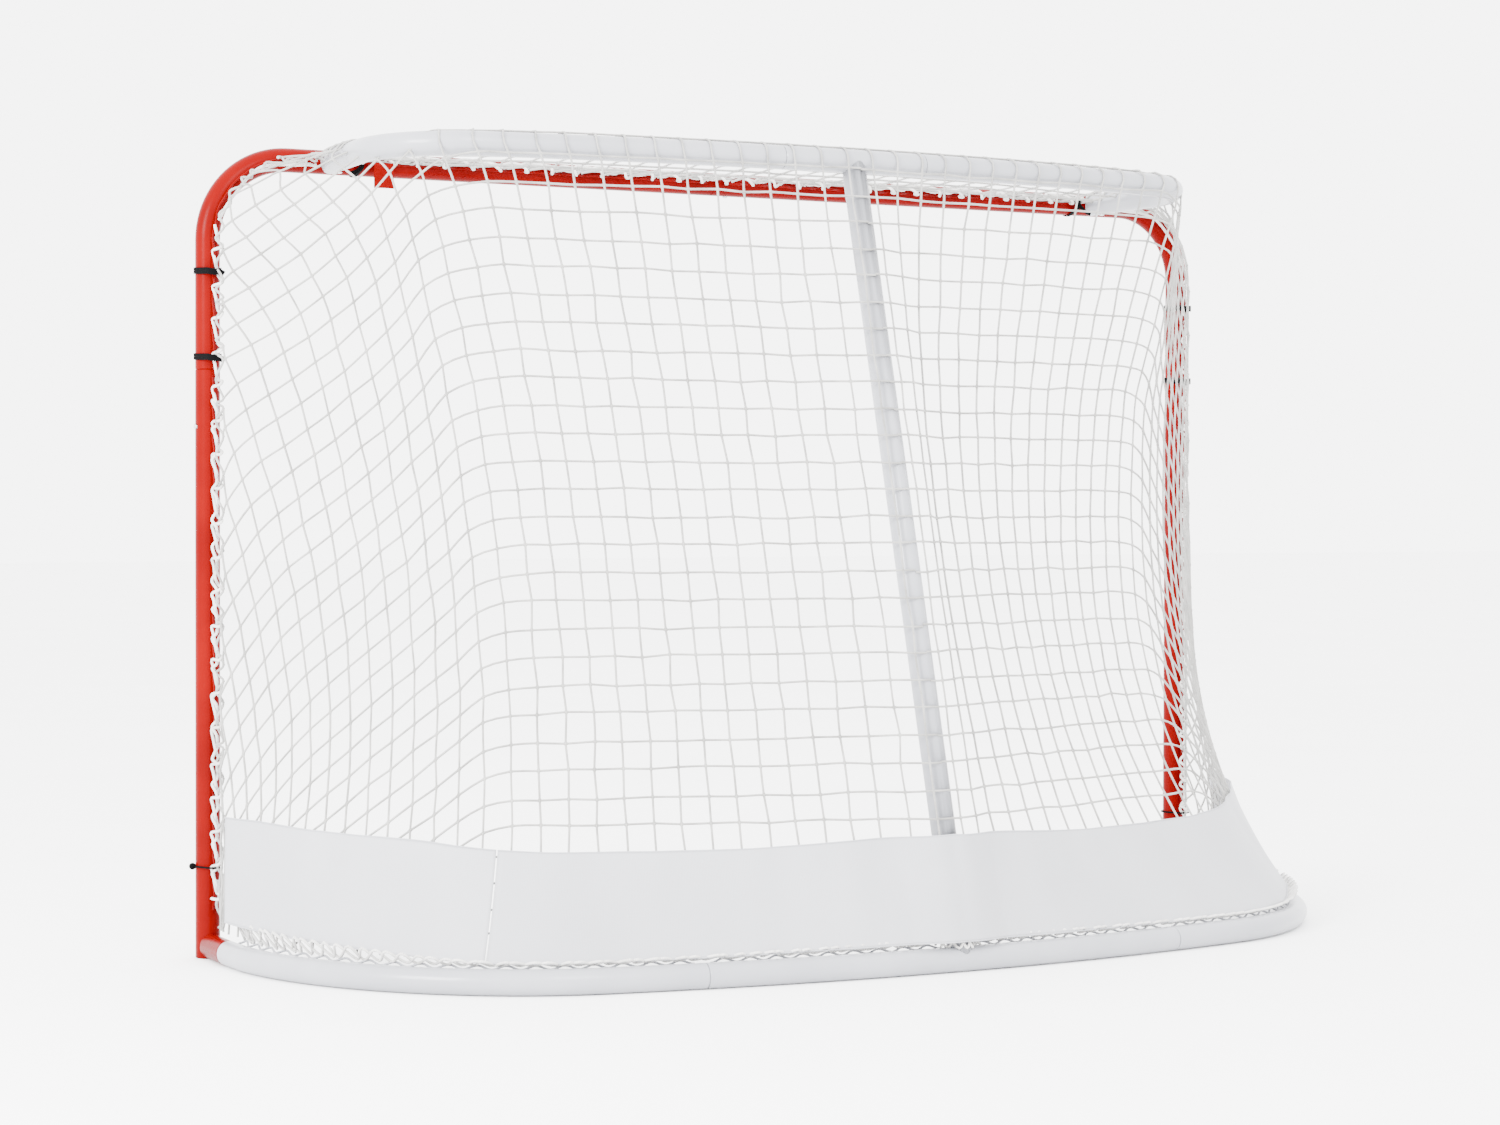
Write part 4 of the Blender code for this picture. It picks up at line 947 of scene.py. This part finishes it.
class Net:
    """Half of the net as knots on its surface, let go until its cords are neither slack nor stretched."""

    def __init__(self):
        inside = [(MIDDLE + 0.4, -10.0)] + [e[:2] for e in EDGE[1:]] + FOOT + [(MIDDLE + 0.4, 29.5)]
        self.i0, self.j0 = -20, -9
        grid_i, grid_j = np.meshgrid(np.arange(self.i0, 15), np.arange(self.j0, 31), indexing="ij")
        ok = within(grid_i.astype(float), grid_j + 1e-6, inside)
        self.ids = np.where(ok, np.cumsum(ok).reshape(ok.shape) - 1, -1)
        self.i, self.j = grid_i[ok], grid_j[ok]
        self.anchors = self.find_anchors()
        self.points = on_surface(self.first_guess())
        self.relax()

    def knot(self, i, j):
        a, b = i - self.i0, j - self.j0
        if 0 <= a < self.ids.shape[0] and 0 <= b < self.ids.shape[1]:
            return self.ids[a, b]
        return -1

    def find_anchors(self):
        found = []
        for column, k, other, s in edge_crossings():
            near = math.floor(other + 1e-6) + 1
            knot = self.knot(k, near) if column else self.knot(near, k)
            if knot >= 0:
                found.append((column, k, knot, (near - other) * CELL, s))
        return found

    def first_guess(self):
        edge = np.array(EDGE)[2:]
        guess = np.zeros((len(self.i), 3))
        for n, (i, j) in enumerate(zip(self.i, self.j)):
            laid = j < -1
            y = 0.40 - CELL * (-1 - j) if laid else 0.42
            z = 1.268 if laid else 1.228 - (j + 1) * REST[0]
            middle = np.array([STEP_TOP * (MIDDLE - max(i, 1)), y, z])
            if i >= 1:
                guess[n] = middle
                continue
            row = min(max(j, -10), 15.9)
            start = np.interp(row, edge[:, 1], edge[:, 0])
            place = at(HELD, np.interp(row, edge[:, 1], edge[:, 2]))
            if j > row:
                place = np.array([POST_X + 0.02, 0.05 + 0.04 * (j - row), 0.0])
                start += (j - 16) * 0.9
            t = np.clip((i - start) / (1 - start), 0, 1)
            guess[n] = place * (1 - t) + middle * t
            if not laid:
                pull = 2.4 * t * (1 - t)
                guess[n, :2] += (np.array([0.80, 0.20]) - guess[n, :2]) * pull
        return guess

    def links(self):
        """Pairs of neighbouring knots, in sets that share no knot."""
        sets = []
        for di, dj in ((0, 1), (1, 0)):
            a = self.ids[: self.ids.shape[0] - di, : self.ids.shape[1] - dj]
            b = self.ids[di:, dj:]
            parity = np.indices(a.shape)[0 if di else 1] % 2
            for odd in (0, 1):
                chosen = (a >= 0) & (b >= 0) & (parity == odd)
                sets.append((a[chosen], b[chosen], di))
        return sets

    def triples(self):
        """Each knot with its neighbours either side, along each family of cords."""
        found = []
        for axis in (0, 1):
            before = np.roll(self.ids, 1, axis)
            after = np.roll(self.ids, -1, axis)
            edge = [slice(None), slice(None)]
            edge[axis] = [0, -1]
            before[tuple(edge)] = -1
            chosen = (self.ids >= 0) & (before >= 0) & (after >= 0)
            found.append((self.ids[chosen], before[chosen], after[chosen]))
        return found

    def relax(self):
        p, sets, triples = self.points, self.links(), self.triples()
        knots = np.array([a[2] for a in self.anchors])
        spare = np.array([a[3] for a in self.anchors]) * 1.05
        ends = at(HELD, np.array([a[4] for a in self.anchors]))
        pinned = np.where((self.j == -1) & (self.i >= 1))[0]
        middle = np.where(self.i == 14)[0]
        level = 1.228 - (self.j + 1) * REST[0]
        hold = 0.05 * np.clip((self.i + 3) / 5.0, 0, 1) * (self.j > -1)
        for turn in range(ROUNDS):
            ease = 0.35 if turn < ROUNDS / 2 else 0.05
            for knot, before, after in triples:
                p[knot] += ease * ((p[before] + p[after]) / 2 - p[knot])
            for _ in range(3):
                for a, b, row in sets:
                    d = p[b] - p[a]
                    length = np.linalg.norm(d, axis=1)
                    goal = np.clip(length + (REST[row] - length) * 0.1, LEAST, MOST[row])
                    shift = d * ((length - goal) / length * 0.5)[:, None]
                    p[a] += shift
                    p[b] -= shift
                d = ends - p[knots]
                length = np.linalg.norm(d, axis=1)
                pull = (length - spare) / np.maximum(length, 1e-6) * np.where(length > spare, 0.6, 0.06)
                np.add.at(p, knots, d * pull[:, None])
                p[middle, 0] += (CELL / 2 - p[middle, 0]) * 0.5
                p[:, 2] += hold * (level - p[:, 2])
                p[pinned, 0] = STEP_TOP * (MIDDLE - self.i[pinned])
                p[pinned, 2] = PIN_Z
            p = on_surface(p)
        self.points = p


BULGE = np.array([0.0, 0.09, 0.21, 0.35, 0.5, 0.65, 0.79, 0.91])
BULGE_R = np.array([KNOT_R, CORD_R, CORD_R, CORD_R, CORD_R, CORD_R, CORD_R, CORD_R])
SPARSE = [0, 1, 4, 7]
WRAP_Z = 1.19
SIDE_Y = 0.22
# Knots this near the post's foot are left out, as the cords there run into the edge.
CROWDED_Y, CROWDED_Z = 0.050, 0.25
EDGE_R = 0.0019

# Each panel of the net: the solid it stands for, how many halves it spans and what holds it.
NET_PANELS = {
    "top": ("top_net", 2, ("shelf_left_tube", "shelf_right_tube", "shelf_tee_tube")),
    "left": ("left_side_net", 1, ("left_net_edge",)),
    "right": ("right_side_net", 1, ("right_net_edge",)),
    "back": ("back_net", 2, ("shelf_tee_tube", "centre_strut_tube")),
}


def panel_of(a, b, side):
    """The panel that a cord between two knots belongs to."""
    m = (a + b) / 2
    word = "left" if side > 0 else "right"
    if m[2] > 1.232 and m[1] < SHELF_REAR_Y + TUBE_R * 0.6:
        return "top"
    return word if m[1] < SIDE_Y + 0.12 * (1.25 - m[2]) else "back"


def strings(net, points, ends):
    """Every cord of one half as a list of points: the lattice lines, with their meetings with the edge."""
    found = []
    starts = {(a[0], a[1]): end for a, end in zip(net.anchors, ends)}
    for column in (True, False):
        for k in range(net.ids.shape[0 if column else 1]):
            row = net.ids[k] if column else net.ids[:, k]
            index = k + (net.i0 if column else net.j0)
            chosen = row[row >= 0]
            crowded = (points[chosen, 1] < CROWDED_Y) & (points[chosen, 2] < CROWDED_Z)
            chosen = chosen[~crowded]
            if len(chosen) == 0:
                continue
            path = points[chosen]
            if (column, index) in starts:
                path = np.vstack([starts[column, index], path])
            if not column:
                partner = path[-1] * [-1, 1, 1]
                path = np.vstack([path, (path[-1] + partner) / 2])
            if len(path) > 1:
                found.append((column, path))
    return found


def kept_samples(path, start, end):
    """Which samples of a cord to keep: all of them where it wraps the shelf, fewer elsewhere."""
    kept = []
    for k in range(start, end):
        fine = max(path[k, 2], path[k + 1, 2]) > WRAP_Z
        kept += [k * len(BULGE) + n for n in (range(len(BULGE)) if fine else SPARSE)]
    return kept + [end * len(BULGE)]


def clip_low(path):
    """The path as far down as the net's hem."""
    under = path[:, 2] < NET_LOW_Z
    if not under.any() or under[0]:
        return path[~under]
    k = int(np.argmax(under))
    a, b = path[k - 1], path[k]
    t = (a[2] - NET_LOW_Z) / (a[2] - b[2])
    return np.vstack([path[:k], a + (b - a) * t])


def netting():
    net = Net()
    panels = {name: Mesh() for name in NET_PANELS}
    cord = dict.fromkeys(NET_PANELS, 0.0)
    widest = dict.fromkeys(NET_PANELS, 0.0)
    edges = {}
    for word, side in (("left", 1), ("right", -1)):
        wander = RNG.normal(0, 0.0009, net.points.shape)
        points = on_surface(net.points + wander)
        ends = edge_points(net)
        for column, path in strings(net, points, ends):
            path = clip_low(path)
            if len(path) < 2:
                continue
            curve = smooth(path, BULGE)
            near_top = curve[:, 2] > WRAP_Z
            curve[near_top] = on_surface(curve[near_top])
            radii = np.r_[np.tile(BULGE_R, len(path) - 1), CORD_R]
            names = [panel_of(a, b, side) for a, b in zip(path, path[1:])]
            start = 0
            for k in range(1, len(names) + 1):
                if k == len(names) or names[k] != names[start]:
                    kept = kept_samples(path, start, k)
                    panels[names[start]].bar(placed(curve[kept]) * [side, 1, 1], radii[kept], 6)
                    length = run_of(path[start : k + 1])[-1]
                    cord[names[start]] += length
                    if not column:
                        widest[names[start]] = max(widest[names[start]], length)
                    start = k
        edges[word] = ends
    for name, (node_name, halves, held_by) in NET_PANELS.items():
        obj = panels[name].piece(name + "_netting", PAINT["cord"], node_name)
        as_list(held_by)
    return net, edges


def edge_points(net):
    """Where the net's cords end on its edge cord, a little behind and inside the frame line."""
    s = np.array([a[4] for a in net.anchors])
    ends = at(HELD, s)
    tangent = at(HELD, s + 0.004) - at(HELD, s - 0.004)
    tangent /= np.linalg.norm(tangent, axis=1)[:, None]
    inward = np.cross(tangent, [0, 1, 0])
    inward *= np.sign((([0.3, 0.04, 0.6] - ends) * inward).sum(1))[:, None]
    on_post = np.clip((s - 0.70) / 0.1, 0, 1)[:, None]
    return ends + inward * 0.008 * on_post + np.array([0, 0.004, 0]) * on_post


# ---------------------------------------------------------------- edge cord and lacing


def edge_cord(word, side, net, ends):
    """The cord round the net's edge: drawn in where the net's own cords pull on it, out where it is laced."""
    order = np.argsort([a[4] for a in net.anchors])
    s = np.array([net.anchors[k][4] for k in order])
    points, last = [], 0
    for n, k in enumerate(order):
        if n and s[n] - s[n - 1] < 0.012:
            continue
        if points:
            points.append(at(HELD, (s[n] + last) / 2) + [0, -0.006, 0])
        points.append(ends[k])
        last = s[n]
    made = Mesh()
    cord_bar(made, clip_low(np.array(points)), side, EDGE_R)
    made.piece(word + "_net_edge", PAINT["cord"])


def cord_bar(made, path, side, radius):
    """A round cord that runs smoothly through the points of a path."""
    made.bar(placed(smooth(path, 5)) * [side, 1, 1], radius, 8)


def into_mouth(spots):
    """The direction across the frame line, level with the mouth, pointing into the mouth."""
    tangent = np.gradient(spots, axis=0)
    tangent /= np.linalg.norm(tangent, axis=1)[:, None]
    across = np.cross(tangent, [0, 1.0, 0])
    across *= np.sign((([0.3, 0.0, 0.6] - spots) * across).sum(1))[:, None]
    return across / np.linalg.norm(across, axis=1)[:, None]


def wraps(path, pitch, shape, phase, wander):
    """A lacing cord that runs along a line and loops over it once in each pitch.
    shape lists (share of the pitch, across, rearward) for the points of one loop."""
    length = run_of(path)[-1]
    loops = max(1, round(length / pitch))
    share, across, back = np.tile(shape, (loops, 1)).T
    turn = np.repeat(np.arange(loops), len(shape))
    s = (turn + phase + share) * length / loops
    s = np.clip(s + RNG.normal(0, wander, len(s)), 0, length)
    s = np.maximum.accumulate(s + np.arange(len(s)) * 1e-5)
    spots = at(path, s)
    dense = into_mouth(at(path, np.linspace(0, length, 400)))
    which = np.clip((s / length * 399).astype(int), 0, 399)
    points = spots + dense[which] * across[:, None]
    points[:, 1] = back + RNG.normal(0, wander * 0.25, len(s))
    return points


LOOP = [
    (0.0, -0.004, 0.0255),
    (0.06, 0.001, 0.0425),
    (0.16, 0.006, 0.0400),
    (0.24, 0.004, 0.0280),
    (0.5, -0.002, 0.0345),
    (0.75, -0.003, 0.0300),
]
BACK_LOOP = [(0.0, 0.005, 0.0265), (0.3, 0.0, 0.0375), (0.6, -0.004, 0.0300), (0.8, 0.001, 0.0350)]
CORNER_RUN = [(0.0, 0.004, 0.0275), (0.25, 0.008, 0.0300), (0.5, 0.010, 0.0310), (0.75, 0.007, 0.0295)]
BAR_LOOP = [
    (0.0, -0.013, 0.0245),
    (0.15, -0.008, 0.040),
    (0.30, 0.001, 0.0405),
    (0.42, -0.001, 0.028),
    (0.7, -0.010, 0.0260),
]
BAR_RUN = [(0.0, -0.015, 0.0225), (0.3, -0.011, 0.0280), (0.6, -0.005, 0.0300), (0.85, -0.012, 0.0270)]
# Each cord of a lacing: its loop, pitch, phase and wander.
CORNER_CORDS = ((CORNER_RUN, 0.12, 0.2, 0.0015), (CORNER_RUN, 0.17, 0.7, 0.0015))
BAR_CORDS = ((BAR_LOOP, 0.047, 0.0, 0.0025), (BAR_RUN, 0.094, 0.3, 0.004), (BAR_RUN, 0.118, 0.7, 0.004))
LACE_LOW_Z = 0.085
LACE_MID_Z = 0.86
LACE_PAST_LEG = 0.03


def lacing():
    corner = upper_path(LEG_X + LACE_PAST_LEG)
    bend_start = BAR_Z - BEND_R - POST_SEAM_Z
    start = at(corner, np.array([bend_start + 0.03]))[0]
    full = line([POST_X, 0, LACE_LOW_Z], start, 120)
    bend = cut_path(corner, bend_start + 0.01, run_of(corner)[-1], 0.01)
    low = line([POST_X, 0, LACE_LOW_Z], [POST_X, 0, LACE_MID_Z], 80)
    for word, side in (("left", 1), ("right", -1)):
        made = Mesh()
        cord_bar(made, wraps(full, WELD_PITCH * 1.15, LOOP, 0.1, 0.0016), side, LACE_R)
        cord_bar(made, wraps(low, WELD_PITCH, BACK_LOOP, 0.4, 0.002), side, LACE_R)
        for shape, pitch, phase, wander in CORNER_CORDS:
            cord_bar(made, wraps(bend, pitch, shape, phase, wander), side, LACE_R)
        made.piece(word + "_post_twine", PAINT["lace"], word + "_post_lacing")
    reach_x = LEG_X - LACE_PAST_LEG
    bar = line([reach_x, 0, BAR_Z], [-reach_x, 0, BAR_Z], 300)
    made = Mesh()
    for shape, pitch, phase, wander in BAR_CORDS:
        cord_bar(made, wraps(bar, pitch, shape, phase, wander), 1, LACE_R)
    made.piece("crossbar_twine", PAINT["lace"], "crossbar_lacing")
    rail_twine()


RAIL_TWINE_R = LACE_R * 0.9
RAIL_TWINE_END = 0.02
RAIL_TWINE_OUT = 0.002
RAIL_TWINE_UP = 0.004
FOOT_TWINE_X = 0.036
FOOT_TWINE_Z = (0.0375, 0.0550)


def rail_twine():
    """Crossed cords between the base rail's wire and the skirt's lower edge."""
    rail = with_z(RAIL, TUBE_R)
    spots = cut_path(rail, STUB_LENGTH + RAIL_TWINE_END, run_of(RAIL)[-1] / 2 - RAIL_TWINE_END, 0.004)
    away = over_rail(spots)
    run = run_of(spots)
    length = run[-1]
    plan = spots[:, :2]
    out = outwards(plan, RAIL_TWINE_OUT) - plan
    count = round(length / WELD_PITCH)
    for word, side in (("left", 1), ("right", -1)):
        made = Mesh()
        for first, phase in enumerate((0.0, 0.125)):
            s = (np.arange(2 * count) / 2 + phase + 0.1) * length / count
            s = np.clip(s + RNG.normal(0, 0.003, len(s)), 0, length)
            low = at(spots, s) + at(away, np.interp(s, run, run_of(away))) * (NEAR + WIRE_STANDOFF)
            level = skirt_edge(s / length, SKIRT_LOW) + RAIL_TWINE_UP
            high = with_z(at(plan, np.interp(s, run, run_of(plan))), level)
            high[:, :2] += out[np.searchsorted(run, s).clip(0, len(spots) - 1)]
            even = (np.arange(len(s)) + first) % 2 == 0
            cord_bar(made, np.where(even[:, None], low, high), side, RAIL_TWINE_R)
        if side > 0:
            foot_twine(made)
        made.piece(word + "_rail_twine", PAINT["lace"], word + "_rail_lacing")


def foot_twine(made):
    """The crossed cords carried on behind the strut's foot."""
    x = np.linspace(FOOT_TWINE_X, -FOOT_TWINE_X, 7)
    round_strut = np.sqrt(np.maximum(0, (TUBE_R + LACE_R + 0.0008) ** 2 - x * x))
    for phase in (0, 1):
        z = np.where((np.arange(len(x)) + phase) % 2 == 0, *FOOT_TWINE_Z)
        lean = REAR_Y + (SHELF_REAR_Y - REAR_Y) * (z - TUBE_R) / (SHELF_Z - TUBE_R)
        cord_bar(made, np.stack([x, lean + np.maximum(round_strut, 0.004), z], 1), 1, RAIL_TWINE_R)


# ---------------------------------------------------------------- skirt


def sheet_piece(name, grid, thickness, paint, nodes):
    """A closed sheet of even thickness through a grid of points, with u and v in metres."""
    rows, columns = grid.shape[:2]
    u = np.concatenate([[0], np.linalg.norm(np.diff(grid[0], axis=0), axis=1).cumsum()])
    v = np.concatenate([[0], np.linalg.norm(np.diff(grid[:, 0], axis=0), axis=1).cumsum()])
    k = np.arange(rows * columns).reshape(rows, columns)
    faces = np.stack([k[:-1, :-1], k[:-1, 1:], k[1:, 1:], k[1:, :-1]], -1).reshape(-1, 4)
    mesh = bpy.data.meshes.new(name)
    mesh.from_pydata(grid.reshape(-1, 3), [], faces.tolist())
    layer = mesh.uv_layers.new(name="UVMap")
    flat = np.stack(np.meshgrid(u, v), -1).reshape(-1, 2)
    layer.data.foreach_set("uv", flat[faces.ravel()].astype(np.float32).ravel())
    mesh.shade_smooth()
    mesh.materials.append(paint)
    obj = bpy.data.objects.new(name, mesh)
    bpy.context.scene.collection.objects.link(obj)
    solid = obj.modifiers.new("thickness", "SOLIDIFY")
    solid.thickness = thickness
    solid.offset = 0
    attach(obj, "frame")
    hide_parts(*nodes)
    return obj


def skirt_edge(u, heights):
    """The height of one of the skirt's edges at share u of the way from the post to the middle."""
    curve = smooth(np.column_stack([SKIRT_U, heights]), 12)
    return np.interp(u, curve[:, 0], curve[:, 1])


SKIRT_HEIGHTS = np.linspace(0.03, 0.25, 23)
SKIRT_OUT = 0.0055
SKIRT_START_U = 0.012
SKIRT_SEAM_GAP = 0.0008
HEM_R = 0.0011
# The skirt's ripples: waves along a half of it and the size of each.
RIPPLES = ((9, 0.0022), (17, 0.0016), (31, 0.0008))


def skirt_plan(u, z):
    """The skirt's plan at heights z, by row and by share u of the way from the post to the middle."""
    levels = []
    for row in outline(SKIRT_HEIGHTS):
        outer = outwards(row, SKIRT_OUT)
        levels.append(at(outer, u * run_of(outer)[-1]))
    levels = np.array(levels)
    a = (z - SKIRT_HEIGHTS[0]) / (SKIRT_HEIGHTS[1] - SKIRT_HEIGHTS[0])
    i = a.astype(int)
    a = (a - i)[..., None]
    k = np.broadcast_to(np.arange(len(u)), z.shape)
    return levels[i, k] * (1 - a) + levels[i + 1, k] * a


def skirt():
    share = np.r_[0, 0.025, np.linspace(0.08, 0.92, 12), 0.975, 1][:, None]
    turns = RNG.uniform(0, math.tau, 6)

    def rows(u, side):
        low, high = skirt_edge(u, SKIRT_LOW), skirt_edge(u, SKIRT_HIGH)
        z = low + (high - low) * share
        plan = skirt_plan(u, z)
        ripple = np.zeros(z.shape)
        for n, (wave, size) in enumerate(RIPPLES):
            turn = turns[n + (0 if side > 0 else 3)]
            ripple += size * np.sin(u[None] * wave * math.pi + turn + share * (1.5 - n)) * (0.55 + 0.45 * share)
        ripple *= np.clip(u / 0.06, 0, 1)[None]
        out = plan - np.array([0, 0.1])
        out /= np.linalg.norm(out, axis=2)[..., None]
        plan = plan + out * (ripple + 0.002)[..., None]
        grid = np.concatenate([plan, z[..., None]], 2)
        grid[-1, :, 2] += 0.0012 * np.sin(u * 23 + turns[1])
        return placed(grid) * [side, 1, 1]

    left = rows(np.linspace(SKIRT_START_U, SKIRT_SEAM_U - SKIRT_SEAM_GAP, 90), 1)
    rest = np.linspace(SKIRT_SEAM_U + SKIRT_SEAM_GAP, 1, 80)
    far = np.linspace(SKIRT_START_U, 1, 170)
    right = np.concatenate([rows(rest, 1), rows(far, -1)[:, -2::-1]], 1)
    for name, grid, node in (("skirt_left_panel", left, "skirt_left"), ("skirt_right_panel", right, "skirt_right")):
        obj = sheet_piece(name, grid, 0.001, PAINT["vinyl"], [node])
        along = np.linalg.norm(np.diff(grid, axis=1), axis=2).sum(1).mean()
        down = np.linalg.norm(np.diff(grid, axis=0), axis=2).sum(0).mean()
        for hem, level in (("top", -1), ("foot", 0)):
            hem_band(name + "_" + hem + "_hem", grid[level])


def hem_band(name, edge):
    """The folded edge of the skirt, as a rounded fold along it."""
    out = edge - np.array([0, GOAL_LINE_Y + 0.1, 0])
    out[:, 2] = 0
    out /= np.linalg.norm(out, axis=1)[:, None]
    made = Mesh()
    made.bar(edge + out * 0.0002, HEM_R, 8)
    made.piece(name, PAINT["vinyl"])


# ---------------------------------------------------------------- straps, ties, tab

STRAP_BACK = 0.0352
STRAP_BACK_R = 0.011
STRAP_Z = (1.060, 0.928)
BAR_STRAP_X = 0.690
HALF_PROFILE = np.array([(-0.0050, -0.0004), (-0.0046, -0.0009), (0.0046, -0.0009), (0.0050, -0.0004)])
STRAP_PROFILE = np.vstack([HALF_PROFILE, -HALF_PROFILE])
STRAP_HALF = 0.0009
POST_TAIL = np.array([[0.001, 0.0375, -0.001], [-0.006, 0.0395, -0.003], [-0.011, 0.041, -0.006]])
BAR_TAIL = np.array([[0, 0.037, -0.004], [0.010, 0.040, -0.014], [0.022, 0.040, -0.019]])


def band(front_r, back_r, grow, steps=16):
    """A taut loop round a tube and what lies behind it, about the tube's axis, with +Y behind."""
    centre = STRAP_BACK - back_r
    lean = math.asin((front_r - back_r) / centre)
    a = np.linspace(math.pi - lean, math.tau + lean, steps)
    b = np.linspace(lean, math.pi - lean, steps)
    front = np.stack([np.cos(a), np.sin(a)], 1) * (front_r + grow)
    back = np.stack([np.cos(b), np.sin(b)], 1) * (back_r + grow) + [0, centre]
    return np.vstack([front, back])


def ribbon(made, path, wide, profile, closed):
    path = np.asarray(path, float)
    tangent = np.roll(path, -1, 0) - np.roll(path, 1, 0) if closed else np.gradient(path, axis=0)
    tangent /= np.linalg.norm(tangent, axis=1)[:, None]
    side = np.tile(np.asarray(wide, float), (len(path), 1))
    side -= tangent * (side * tangent).sum(1)[:, None]
    side /= np.linalg.norm(side, axis=1)[:, None]
    made.rings(path, side, np.cross(tangent, side), 1.0, len(profile), closed, profile)


def straps():
    for word, side in (("left", 1), ("right", -1)):
        for level, z in zip(("upper", "lower"), STRAP_Z):
            loop = band(TUBE_R + FIT * 2, STRAP_BACK_R, STRAP_HALF) * [side, 1]
            loop = placed(np.column_stack([loop + [POST_X * side, 0], np.full(len(loop), z)]))
            loop[:, 2] += 0.002 * np.sin(np.linspace(0, math.tau, len(loop)))
            made = Mesh()
            ribbon(made, loop, (0, 0, 1), STRAP_PROFILE, True)
            tail = placed(smooth(POST_TAIL + [POST_X, 0, z], 4)) * [side, 1, 1]
            ribbon(made, tail, (0, 0.2, 1), STRAP_PROFILE * 0.94, False)
            made.piece(f"{word}_{level}_webbing", PAINT["webbing"], f"{word}_{level}_strap")
        loop = band(TUBE_R + FIT * 2, STRAP_BACK_R, STRAP_HALF)
        loop = placed(np.column_stack([np.full(len(loop), BAR_STRAP_X * side), loop[:, 1], loop[:, 0] + BAR_Z]))
        made = Mesh()
        ribbon(made, loop, (1, 0, 0), STRAP_PROFILE * 0.7, True)
        tail = placed(smooth(BAR_TAIL + [BAR_STRAP_X, 0, BAR_Z], 4)) * [side, 1, 1]
        ribbon(made, tail, (0.3, 0, 1), STRAP_PROFILE * 0.6, False)
        made.piece(word + "_crossbar_webbing", PAINT["webbing"], word + "_crossbar_strap")
        tie(word, side)


TIE_R = 0.0015
TIE_Z = 0.142
TIE_BALL_R = 0.0055


def tie(word, side):
    loop = band(TUBE_R + FIT * 2, STRAP_BACK_R, TIE_R + FIT)
    loop = placed(np.column_stack([loop[:, 0] + POST_X, loop[:, 1], np.full(len(loop), TIE_Z)])) * [side, 1, 1]
    loop = loop if side > 0 else loop[::-1]
    tangent = np.roll(loop, -1, 0) - np.roll(loop, 1, 0)
    tangent /= np.linalg.norm(tangent, axis=1)[:, None]
    up = np.tile([0, 0, 1.0], (len(loop), 1))
    made = Mesh()
    made.rings(loop, up, np.cross(tangent, up), TIE_R, 10, True)
    centre = placed([[(POST_X + TUBE_R + TIE_R + TIE_BALL_R * 0.55) * side, -0.004, TIE_Z]])[0]
    turn = np.linspace(0, math.pi, 15)
    path = centre + np.outer(-np.cos(turn), [0, 0, TIE_BALL_R])
    path[0, 2] -= 0.00002
    path[-1, 2] += 0.00002
    radii = np.maximum(TIE_BALL_R * np.sin(turn), 0.0003)
    made.rings(path, np.tile([1.0, 0, 0], (15, 1)), np.tile([0, 1.0, 0], (15, 1)), radii, 20)
    made.piece(word + "_tie_cord", PAINT["webbing"], word + "_tie")


TAB_WAVE = 0.0016
TAB_SWING = 0.001


def tab():
    """The small cloth tab that hangs from the crossbar."""
    low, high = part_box("crossbar_tab")
    x = np.linspace(low[0], high[0], 14)
    z = np.linspace(low[2], high[2], 16)
    share = ((z - low[2]) / (high[2] - low[2]))[:, None]
    flutter = TAB_WAVE * np.sin(np.linspace(0, 4.2, 14))[None] * (1 - share)
    y = (low[1] + high[1]) / 2 + flutter + TAB_SWING * (1 - share) ** 2
    grid = np.stack([np.broadcast_to(x[None], y.shape), y, np.broadcast_to(z[:, None], y.shape)], 2)
    obj = sheet_piece("crossbar_cloth_tab", grid, 0.0008, PAINT["cloth"], ["crossbar_tab"])


def hardware():
    for name, obj in frame["nodes"].items():
        if name.endswith(("_button", "_clip", "_screw")):
            for entry in obj.material_slots:
                entry.material = PAINT["steel"]


camera()
studio()
posts("left", 1)
posts("right", -1)
base_rail()
shelf()
wires()
NET, NET_ENDS = netting()
for half, sign in (("left", 1), ("right", -1)):
    edge_cord(half, sign, NET, NET_ENDS[half])
lacing()
skirt()
straps()
tab()
hardware()
